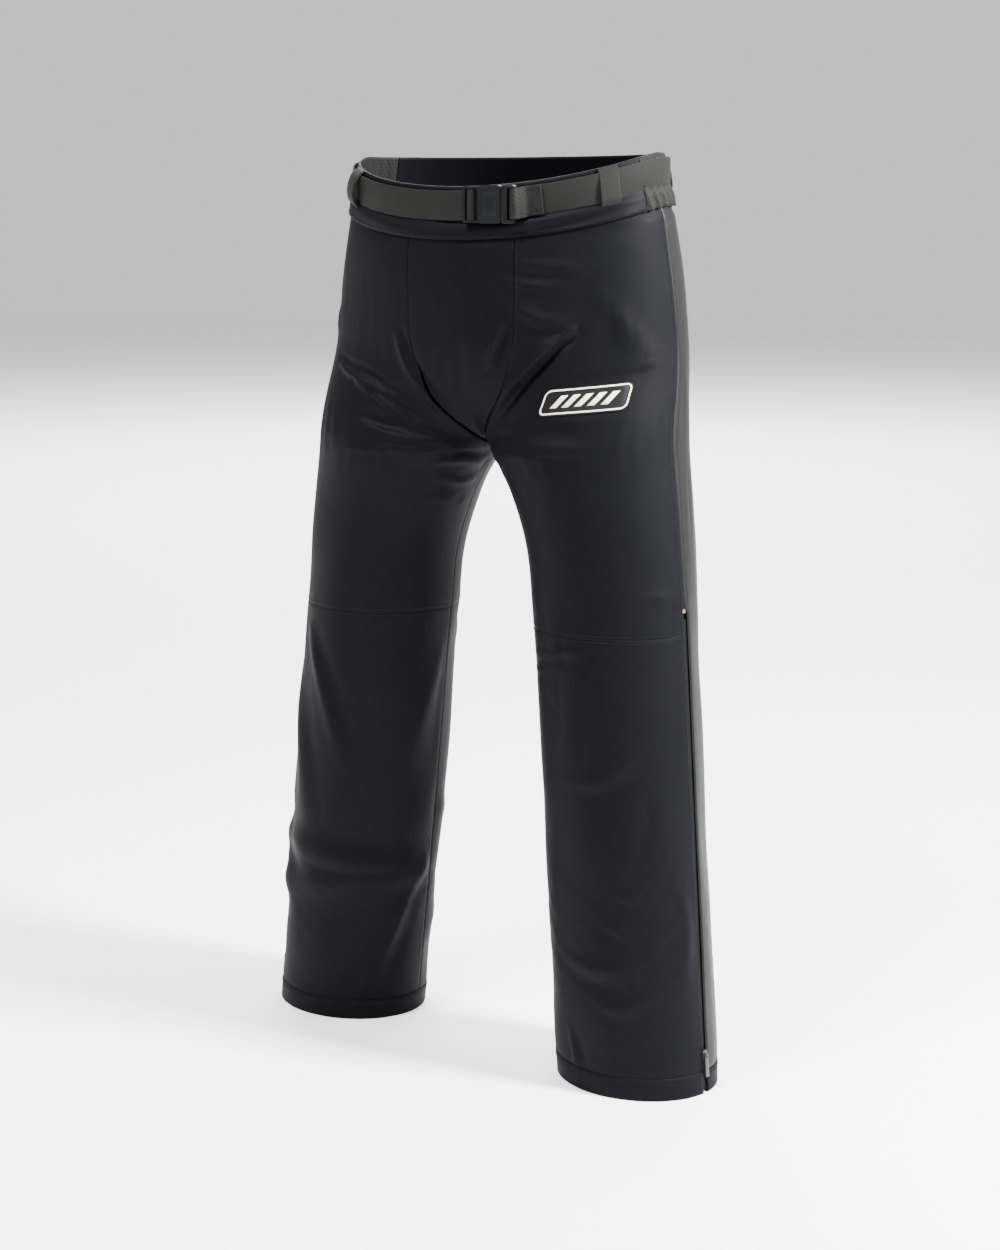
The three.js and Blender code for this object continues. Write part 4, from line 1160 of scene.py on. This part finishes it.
def sewn_end():
    """The belt's other end: round the plug's bar and stitched down on itself."""
    over = lambda x, layers: band_depth(x) - 0.0032 - 0.0017 * layers
    loop = [(0.058, over(0.058, 1)), (0.050, over(0.050, 1)), (0.042, over(0.042, 1.2))]
    loop += [(0.0350, -0.0050), (0.0320, -0.0084), (0.0290, -0.0097), (0.0258, -0.0086), (0.0247, -0.0048)]
    loop += [(0.0260, -0.0006), (0.0300, 0.0004), (0.0350, -0.0012)]
    loop += [(0.042, over(0.042, 0)), (0.050, over(0.050, 0)), (0.057, over(0.057, 0))]
    rise = lambda x: strap_height(x) * min(1, max(0, (x - 0.03) / 0.012))
    line = smooth_path([in_buckle(x, y, rise(x)) for x, y in loop], 7)
    obj = ribbon("belt_sewn_end_strap", line, 2 * WEB_HALF, 0.0015, WEBBING)
    return finish_piece(obj, "webbing", "belt_sewn_end", body_name="belt_plug")


belt()
sewn_end()


# %% [markdown]
# A belt loop is a short strap of narrow tape, stitched to the waistband above and below the belt. The
# one on the wearer's right stands away from the belt, because nothing presses it there.

# %% Belt loops
LOOPS = {"front_left": (55, 0.0012), "front_right": (-55, 0.0075), "back_left": (120, 0.002),
         "back_right": (-120, 0.0015), "back_centre": (180, 0.002)}
LOOP_HALF = 0.021
LOOP_THICK = 0.0014


def belt_loop(label, angle, slack):
    heights = np.linspace(-LOOP_HALF, LOOP_HALF, 27)
    share = np.clip((LOOP_HALF - np.abs(heights)) / 0.007, 0, 1)
    crown = np.cos(heights / LOOP_HALF * np.pi / 2) ** 0.7
    middle = 0.0012 + share * share * (3 - 2 * share) * 0.0029 + slack * crown
    face = np.gradient(middle, heights)
    tilt = 1 / np.sqrt(1 + face ** 2)
    half = LOOP_THICK / 2
    tape = list(zip(middle, heights, face, tilt))
    outer = [(m + half * t, h - half * f * t) for m, h, f, t in tape]
    inner = [(m - half * t, h + half * f * t) for m, h, f, t in tape]
    base = waist_place(belt_height)
    spread = 0.0148 * degrees_per_metre
    ends = np.array([0, 0.012, 0.03, 0.07])
    stations = np.concatenate([ends, np.linspace(0.12, 0.88, 12), 1 - ends[::-1]]) * 2 - 1

    def place(s, out, up):
        thin = 1 - 0.25 * max(0.0, (abs(s) - 0.94) / 0.06) ** 2
        return base(angle + s * spread, 0.0014 + (out - 0.0014) * thin, up)

    obj = swept(f"belt_loop_tape_{label}", stations, outer + inner[::-1], place, LOOP_TAPE)
    return finish_piece(obj, "loop_cloth", f"belt_loop_{label}")


for label, (angle, slack) in LOOPS.items():
    belt_loop(label, angle, slack)


# %% [markdown]
# ## Buckle
#
# The CAD buckle already has the true sections: a hollow socket with windows for the prongs, a
# ladder-lock frame and a plug. Moulded plastic has no sharp edges, so each node is copied, its loose
# triangles are merged into clean faces, and a Bevel modifier rounds the edges.

# %% Rounded copies of CAD nodes
def only(obj):
    bpy.ops.object.select_all(action="DESELECT")
    obj.select_set(True)
    bpy.context.view_layer.objects.active = obj


def rounded_copy(node, width, material, slot, body_name, segments=3):
    source = frame["nodes"][node]
    obj = source.copy()
    obj.data = source.data.copy()
    obj.name = f"{node}_moulded"
    for key in list(obj.keys()):
        del obj[key]
    obj.parent = None
    bpy.context.scene.collection.objects.link(obj)
    obj.matrix_world = Matrix.Identity(4)
    obj.data.materials.clear()
    obj.data.materials.append(material)
    only(obj)
    bpy.ops.object.mode_set(mode="EDIT")
    bpy.ops.mesh.select_all(action="SELECT")
    bpy.ops.mesh.remove_doubles(threshold=0.00002)
    bpy.ops.mesh.dissolve_limited(angle_limit=math.radians(2))
    bpy.ops.object.mode_set(mode="OBJECT")
    bevel = obj.modifiers.new("edges", "BEVEL")
    bevel.width = width
    bevel.segments = segments
    bevel.limit_method = "ANGLE"
    bevel.angle_limit = math.radians(32)
    bevel.harden_normals = False
    bevel.use_clamp_overlap = True
    bpy.ops.object.modifier_apply(modifier=bevel.name)
    bpy.ops.object.shade_smooth_by_angle(angle=math.radians(35))
    return finish_piece(obj, slot, node, body_name=body_name)


rounded_copy("buckle_socket", 0.0005, BUCKLE_PLASTIC, "buckle_plastic", "root")
rounded_copy("buckle_plug", 0.0006, BUCKLE_PLASTIC, "buckle_plastic", "belt_plug")
rounded_copy("buckle_prong_upper", 0.0006, BUCKLE_PLASTIC, "buckle_plastic", "prong_upper")
rounded_copy("buckle_prong_lower", 0.0006, BUCKLE_PLASTIC, "buckle_plastic", "prong_lower")


# %% [markdown]
# The socket's face carries a low raised panel and each thumb pad has grip ribs. These are small
# blocks, shaped in edit mode: added as a cube, sized, then bevelled.

# %% Small moulded details
def small_block(name, frame_matrix, low, high, bevel, material, slot, body_name="root", segments=2):
    """A block between two corners of a local frame, with rounded edges, its place in its mesh."""
    low, high = Vector(low), Vector(high)
    bpy.ops.object.select_all(action="DESELECT")
    bpy.ops.mesh.primitive_cube_add(size=1, location=(0, 0, 0))
    obj = bpy.context.object
    obj.name = name
    size = high - low
    bpy.ops.object.mode_set(mode="EDIT")
    bpy.ops.transform.resize(value=tuple(size))
    bpy.ops.transform.translate(value=tuple((low + high) / 2))
    bpy.ops.mesh.select_all(action="SELECT")
    bpy.ops.mesh.bevel(offset=bevel, segments=segments, affect="EDGES")
    bpy.ops.object.mode_set(mode="OBJECT")
    obj.data.transform(frame_matrix)
    obj.data.materials.append(material)
    bpy.ops.object.shade_smooth_by_angle(angle=math.radians(40))
    return finish_piece(obj, slot, body_name=body_name)


def joined(name, pieces):
    """Several blocks made one piece."""
    bpy.ops.object.select_all(action="DESELECT")
    for piece in pieces:
        piece.select_set(True)
    bpy.context.view_layer.objects.active = pieces[0]
    bpy.ops.object.join()
    pieces[0].name = name
    return pieces[0]


panel_low, panel_high = (-0.0065, -0.0101, -0.0125), (0.0105, -0.0094, 0.0125)
small_block("buckle_face_panel", buckle_frame, panel_low, panel_high, 0.0003, BUCKLE_PLASTIC,
            "buckle_plastic", "root")
for label, sign in (("upper", 1), ("lower", -1)):
    ribs = []
    for i in range(4):
        x = -0.0035 + i * 0.0023
        z = sorted((sign * 0.0180, sign * 0.0190))
        ribs.append(small_block(
            f"grip_rib_{label}_{i}", buckle_frame, (x, -0.0070, z[0]), (x + 0.0011, -0.0026, z[1]), 0.0002,
            BUCKLE_PLASTIC, "buckle_plastic", f"prong_{label}",
        ))
    joined(f"buckle_grip_ribs_{label}", ribs)
print("buckle made")


# %% [markdown]
# ## Zips
#
# Each leg opens at the side with a nylon coil zip. A coil zip is two spirals of one filament whose
# humps lock together, so seen from outside it is two rows of short slanted humps, offset by half a
# step. One hump is modelled and repeated along the tape.

# %% Zip frames
def zip_frame(side):
    """Local frame of a zip: +Z up the zip, +X across it, -Y outwards, its foot at the hem."""
    foot = Vector(body(side, np.array(ZIP_SEAM), np.array(0.0)).tolist())
    head = Vector(body(side, np.array(ZIP_SEAM), np.array(STRAIGHT_Z)).tolist())
    up = (head - foot).normalized()
    middle = np.array(ZIP_SEAM), np.array(STRAIGHT_Z / 2)
    out = Vector(facing(lambda a, h: body(side, a, h), *middle, side).tolist())
    wide = up.cross(out).normalized()
    out = wide.cross(up).normalized()
    return Matrix((
        (wide.x, -out.x, up.x, foot.x),
        (wide.y, -out.y, up.y, foot.y),
        (wide.z, -out.z, up.z, foot.z),
        (0, 0, 0, 1),
    ))


HUMP_PITCH = 0.0022


def coil(label, place):
    """Two rows of humps, copied from one block with a slanted top."""
    bpy.ops.object.select_all(action="DESELECT")
    bpy.ops.mesh.primitive_cube_add(size=1, location=(0, 0, 0))
    hump = bpy.context.object
    bpy.ops.object.mode_set(mode="EDIT")
    bpy.ops.transform.resize(value=(0.0033, 0.0016, 0.0012))
    bpy.ops.mesh.bevel(offset=0.00035, segments=1, affect="EDGES")
    bpy.ops.object.mode_set(mode="OBJECT")
    base = np.array([v.co for v in hump.data.vertices])
    polygons = [list(p.vertices) for p in hump.data.polygons]
    bpy.data.objects.remove(hump)
    low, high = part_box(f"zip_coil_{label}")
    count = int((high.z - low.z - 0.002) / HUMP_PITCH)
    points, faces = [], []
    for i in range(count):
        for row in (-1, 1):
            start = len(points) * len(base)
            z = 0.0068 + i * HUMP_PITCH + (row > 0) * HUMP_PITCH / 2
            slant = base + np.array([row * 0.0013, 0.0026, z])
            slant[:, 2] += row * base[:, 0] * 0.18
            points.append(slant)
            faces += [[start + v for v in face] for face in polygons]
    points = np.concatenate(points)
    points = np.concatenate([points, np.ones((len(points), 1))], 1) @ np.array(place).T
    obj = mesh_object(f"zip_coil_humps_{label}", points[:, :3], faces, ZIP_NYLON)
    return finish_piece(obj, "zip_nylon", f"zip_coil_{label}")


TAPE_CLOTH = woven("zip_tape", (0.0022, 0.0022, 0.0028), (0.0044, 0.0044, 0.0052), 0.0009, sheen=0.004)
for label, side in SIDES:
    place = zip_frame(side)
    coil(label, place)
    small_block(f"zip_tape_cloth_{label}", place, (-0.0100, 0.0048, 0.006), (0.0100, 0.0056, 0.547), 0.0003,
                TAPE_CLOTH, "zip_tape")
    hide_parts(f"zip_tape_{label}")
    rounded_copy(f"zip_end_stop_{label}", 0.0004, BRASS, "zip_brass", "root", 2)
    rounded_copy(f"zip_slider_{label}", 0.00035, ENAMEL, "zip_metal", f"slider_{label}", 2)
    rounded_copy(f"zip_pull_{label}", 0.0003, ENAMEL, "zip_metal", f"pull_{label}", 2)
print("zips made")


# %% [markdown]
# ## Stitching
#
# Each row of stitches is a line of tiny thread dashes that dip into the cloth at both ends. A dash
# has only a few faces, because there are thousands of them.

# %% Stitch rows
def dashes(name, rows, slot="stretch_cloth", body_name="root", stitch=0.0027, gap=0.0011, thick=0.00034):
    """rows is a list of (places, normals). Each becomes a row of dashes lying on the surface."""
    shape_t = np.array([-0.5, -0.28, 0.28, 0.5])
    shape_r = np.array([0.35, 1.0, 1.0, 0.35])
    shape_h = np.array([-0.4, 0.25, 0.25, -0.4])
    turn = np.arange(5) * 2 * np.pi / 5
    points, faces = [], []
    total = 0
    for places, normals in rows:
        steps = np.linalg.norm(np.diff(places, axis=0), axis=1)
        run = np.concatenate([[0], np.cumsum(steps)])
        if run[-1] < stitch:
            continue
        at = np.arange(stitch / 2, run[-1] - stitch / 2, stitch + gap)
        pos = np.stack([np.interp(at, run, places[:, i]) for i in range(3)], -1)
        nor = np.stack([np.interp(at, run, normals[:, i]) for i in range(3)], -1)
        ahead = np.stack([np.interp(at + 0.0004, run, places[:, i]) for i in range(3)], -1)
        t = ahead - pos
        t /= np.maximum(np.linalg.norm(t, axis=1, keepdims=True), 1e-9)
        nor -= t * (nor * t).sum(1, keepdims=True)
        nor /= np.maximum(np.linalg.norm(nor, axis=1, keepdims=True), 1e-9)
        b = np.cross(t, nor)
        rings = []
        for st, sr, sh in zip(shape_t, shape_r, shape_h):
            centre = pos + t * st * stitch + nor * sh * thick
            ring = [centre + (nor * math.sin(a) + b * math.cos(a)) * thick * sr for a in turn]
            rings.append(np.stack(ring, 1))
        block = np.stack(rings, 1).reshape(len(at) * 20, 3)
        points.append(block)
        for i in range(len(at)):
            base = total + i * 20
            for r in range(3):
                for k in range(5):
                    k1 = (k + 1) % 5
                    near, far = base + r * 5, base + r * 5 + 5
                    faces.append((near + k, far + k, far + k1, near + k1))
            faces.append(tuple(base + k for k in range(5)))
            faces.append(tuple(base + 15 + k for k in range(4, -1, -1)))
        total += len(block)
    obj = mesh_object(name, np.concatenate(points), faces, THREAD)
    return finish_piece(obj, slot, body_name=body_name)


def on_cloth(side, angles, heights, out=0.0001):
    angles, heights = np.broadcast_arrays(np.asarray(angles, float), np.asarray(heights, float))
    return worn(side, angles, heights, np.full(angles.shape, out)), body_facing(side, angles, heights)


for label, side in SIDES:
    rows = []
    z_all = np.linspace(0.030, 0.955, 260)
    beside_zip = inset(0.0062)
    for offset in (-beside_zip, beside_zip):
        rows.append(on_cloth(side, ZIP_SEAM + offset, z_all))
    for offset in (-inset(0.003), inset(0.003)):
        rows.append(on_cloth(side, BACK_SEAM + offset, np.linspace(0.030, 0.955, 260)))
    front = np.linspace(4, ZIP_SEAM - 5, 120)
    rows.append(on_cloth(side, front, np.full(front.shape, KNEE_Z + 0.0034)))
    rows.append(on_cloth(side, front, np.full(front.shape, KNEE_Z - 0.0034)))
    z_edge = np.linspace(0.735, 0.935, 90)
    rows.append(on_cloth(side, centre_edge(z_edge) + inset(0.003), z_edge))
    dashes(f"stitch_rows_leg_{label}", rows)

band_rows = []
for start, end in ((-71.5, 71.5), (112.5, 247.5)):
    a = np.linspace(start, end, 200)
    for height in (0.0032, WAISTBAND - 0.0035):
        z = rim_height(a) - height
        n = facing(hip, a, z, 1)
        band_rows.append((hip(a, z) + n * (0.0004 + band_swell(a, z))[:, None], n))
for a0 in (72.6, 111.4, -72.6, -111.4):
    z = np.linspace(0.985, 1.033, 20) + (rim_height(np.array(a0)) - RIM_Z)
    a = np.full(z.shape, a0)
    n = facing(hip, a, z, 1)
    band_rows.append((hip(a, z) + n * 0.0013, n))
dashes("stitch_rows_waistband", band_rows)

for label, side in SIDES:
    a = np.linspace(ZIP_SEAM + 4, ZIP_SEAM + 356, 200) % 360
    rows = []
    for z in (HEM_Z - 0.0030, HEM_Z - 0.0055):
        n = body_facing(side, a, np.full(a.shape, z))
        level = np.full(a.shape, z)
        rows.append((body(side, a, level) + n * (lift(side, a, level) + 0.0005)[:, None], n))
    dashes(f"stitch_rows_hem_{label}", rows)


# %% Stitches that hold the belt's sewn end and the loops
def box_stitch():
    rows = []
    x0, x1, h = 0.0405, 0.0560, 0.0125
    face = lambda x: band_depth(x) - 0.0032 - 0.0017 - 0.0010
    lines = [((x0, -h), (x1, -h)), ((x1, -h), (x1, h)), ((x1, h), (x0, h)), ((x0, h), (x0, -h)),
             ((x0, -h), (x1, h)), ((x0, h), (x1, -h))]
    for (xa, za), (xb, zb) in lines:
        t = np.linspace(0, 1, 14)
        xs, zs = xa + (xb - xa) * t, za + (zb - za) * t
        places = np.array([in_buckle(x, face(x), z + strap_height(x)) for x, z in zip(xs, zs)])
        rows.append((places, np.tile(np.array(outwards), (14, 1))))
    dashes("stitch_box_belt_end", rows, "webbing", "belt_plug")


def loop_stitches():
    rows = []
    for angle, slack in LOOPS.values():
        for height in (-LOOP_HALF + 0.0022, LOOP_HALF - 0.0022):
            a = np.linspace(angle - 0.013 * degrees_per_metre, angle + 0.013 * degrees_per_metre, 12)
            z = belt_height(a) + height
            n = facing(hip, a, z, 1)
            rows.append((hip(a, z) + n * (0.0026 + slack * 0.12), n))
    dashes("stitch_rows_loops", rows, "loop_cloth")


box_stitch()
loop_stitches()
print("stitches made")


# %% [markdown]
# ## Badge
#
# A small patch sits on the wearer's left thigh, tilted with the hip. It is black, with a raised cream
# border of satin stitch and plain slanted bars. It carries no lettering.

# %% Thigh badge
BADGE_SIZE = (0.098, 0.031)
BADGE_TILT = math.radians(6)


def on_thigh(u, v, out):
    """A place on the left thigh, u along and v up the badge, in metres from its middle."""
    u, v = np.broadcast_arrays(np.asarray(u, float), np.asarray(v, float))
    z = BADGE_AT[1] + v * math.cos(BADGE_TILT) + u * math.tan(BADGE_TILT)
    a0, z0 = np.array(BADGE_AT[0]), np.array(BADGE_AT[1])
    per = float(np.linalg.norm(body(1, a0 + 0.5, z0) - body(1, a0 - 0.5, z0)))
    angle = BADGE_AT[0] + (u - v * 0.12) / per
    return worn(1, angle, z, out)


def rounded_outline(width, height, radius, corner=6):
    points = []
    for cx, cy, start in ((1, 1, 0), (-1, 1, 90), (-1, -1, 180), (1, -1, 270)):
        for i in range(corner + 1):
            t = math.radians(start + 90 * i / corner)
            x = cx * (width / 2 - radius) + radius * math.cos(t)
            points.append((x, cy * (height / 2 - radius) + radius * math.sin(t)))
    dense = []
    for p, q in zip(points, points[1:] + points[:1]):
        steps = max(1, int(math.dist(p, q) / 0.003))
        (px, py), (qx, qy) = p, q
        dense += [(px + (qx - px) * i / steps, py + (qy - py) * i / steps) for i in range(steps)]
    return np.array(dense)


def patch(name, outline, low, high, material, rings=5, crown=0.0):
    """A thin pad within an outline, its top a little crowned."""
    centre = outline.mean(0)
    points, faces = [], []
    k = len(outline)
    for face_up in (1, 0):
        for r in range(rings):
            s = 1 - r / rings
            ring = centre + (outline - centre) * s
            out = high + crown * (1 - s * s) if face_up else low
            rim = -0.0002 if face_up and r == 0 else 0
            points.append(on_thigh(ring[:, 0], ring[:, 1], out + rim))
        points.append(on_thigh(centre[0:1], centre[1:2], high + crown if face_up else low))
    points = np.concatenate(points)
    side_count = rings * k + 1
    for base, flip in ((0, False), (side_count, True)):
        for r in range(rings - 1):
            for j in range(k):
                j1 = (j + 1) % k
                quad = (base + r * k + j, base + r * k + j1, base + r * k + k + j1, base + r * k + k + j)
                faces.append(quad[::-1] if flip else quad)
        tip = base + rings * k
        for j in range(k):
            tri = (base + (rings - 1) * k + j, base + (rings - 1) * k + (j + 1) % k, tip)
            faces.append(tri[::-1] if flip else tri)
    for j in range(k):
        j1 = (j + 1) % k
        faces.append((j, side_count + j, side_count + j1, j1))
    obj = mesh_object(name, points, faces, material)
    face_outwards(obj)
    return finish_piece(obj, "badge")


def border(name, outline, width, low, high, material):
    """A raised cord that follows an outline."""
    k = len(outline)
    ahead = np.roll(outline, -1, 0) - np.roll(outline, 1, 0)
    ahead /= np.linalg.norm(ahead, axis=1, keepdims=True)
    side = np.stack([ahead[:, 1], -ahead[:, 0]], -1)
    rings = []
    section = [(math.cos(t), math.sin(t)) for t in np.linspace(0, 2 * math.pi, 9)[:-1]]
    for x, y in section:
        place = outline + side * (x * width / 2)
        rings.append(on_thigh(place[:, 0], place[:, 1], low + (high - low) * (0.5 + 0.5 * y)))
    points = np.stack(rings, 1).reshape(-1, 3)
    faces = []
    for r in range(k):
        n = (r + 1) % k
        for j in range(8):
            j1 = (j + 1) % 8
            faces.append((r * 8 + j, n * 8 + j, n * 8 + j1, r * 8 + j1))
    obj = mesh_object(name, points, faces, material)
    face_outwards(obj)
    return finish_piece(obj, "badge")


badge_outline = rounded_outline(BADGE_SIZE[0], BADGE_SIZE[1], 0.008)
badge = patch("badge_patch", badge_outline, 0.0002, 0.0011, BADGE_BLACK, crown=0.0003)
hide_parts("thigh_badge")
border_outline = rounded_outline(BADGE_SIZE[0] - 0.005, BADGE_SIZE[1] - 0.005, 0.006)
border("badge_border", border_outline, 0.0018, 0.0009, 0.0021, BADGE_CREAM)
for i in range(5):
    x = -0.0275 + i * 0.01375
    slant, half, tall = 0.0040, 0.0037, 0.0067
    bar = np.array([
        (x + slant + half, tall), (x + slant - half, tall), (x - slant - half, -tall), (x - slant + half, -tall),
    ])
    bar = np.concatenate([np.linspace(p, q, 5)[:-1] for p, q in zip(bar, np.roll(bar, -1, 0))])
    patch(f"badge_bar_{i + 1}", bar, 0.0009, 0.0017, BADGE_CREAM, rings=2, crown=0.0002)
print("badge made")


# %% [markdown]
# ## Pads
#
# Light foam pads lie in pockets inside the cloth at the hips, the thighs and the tailbone. Each is
# crowned and quilted, thin at its edges.

# %% Inner pads
PAD_FOAM = woven("pad_cover", (0.020, 0.020, 0.022), (0.05, 0.05, 0.054), 0.0018)
PADS = {"hip_pad": (135, 200, 0.772, 0.905, 0.013), "thigh_pad": (55, 132, 0.540, 0.702, 0.011)}


def inner_pad(node, side, start, end, low, high, thick):
    rows, cols = 44, 44
    u = np.linspace(0, 1, cols)[None, :]
    v = np.linspace(0, 1, rows)[:, None]
    angle = start + (end - start) * u + 0 * v
    z = low + (high - low) * v + 0 * u
    half = np.where(angle > 360, -side, side)
    folded = np.where(angle > 360, 720 - angle, angle)
    edge = np.minimum(np.minimum(u, 1 - u), np.minimum(v, 1 - v) * 1.4)
    crown = np.clip(edge / 0.22, 0, 1)
    crown = np.sqrt(crown * (2 - crown))
    quilt = np.abs(np.sin(np.pi * (u * 3 + v * 4))) * np.abs(np.sin(np.pi * (u * 3 - v * 4)))
    depth = 0.0010 + (thick - 0.002) * crown * (0.78 + 0.22 * np.clip(quilt * 3, 0, 1))
    near = np.zeros(angle.shape + (3,))
    far = near.copy()
    for one in (1, -1):
        mask = (half == one)[..., None]
        n = body_facing(one, folded, z)
        base = body(one, folded, z)
        near = np.where(mask, base - n * 0.0040, near)
        far = np.where(mask, base - n * (0.0040 + depth)[..., None], far)
    points = np.concatenate([near.reshape(-1, 3), far.reshape(-1, 3)])
    count = rows * cols
    faces = [grid_faces(rows, cols, 0, side < 0), grid_faces(rows, cols, count, side > 0)]
    ring = np.concatenate([np.arange(cols), np.arange(1, rows) * cols + cols - 1,
                           (rows - 1) * cols + np.arange(cols - 2, -1, -1), np.arange(rows - 2, 0, -1) * cols])
    after = np.roll(ring, -1)
    rim = np.stack([ring, ring + count, after + count, after], -1)
    faces.append(rim if side > 0 else rim[:, ::-1])
    obj = mesh_object(f"{node}_quilted", points, np.concatenate(faces).tolist(), PAD_FOAM,
                      np.concatenate([cloth_uv(angle, z).reshape(-1, 2)] * 2))
    finish_piece(obj, "pad_fabric", node)


for label, side in SIDES:
    for kind, sizes in PADS.items():
        inner_pad(f"{kind}_{label}", side, *sizes)
inner_pad("tailbone_pad", 1, 334, 386, 0.846, 0.940, 0.014)
print("pads made")


# %% Finish: update the view layer
bpy.context.view_layer.update()
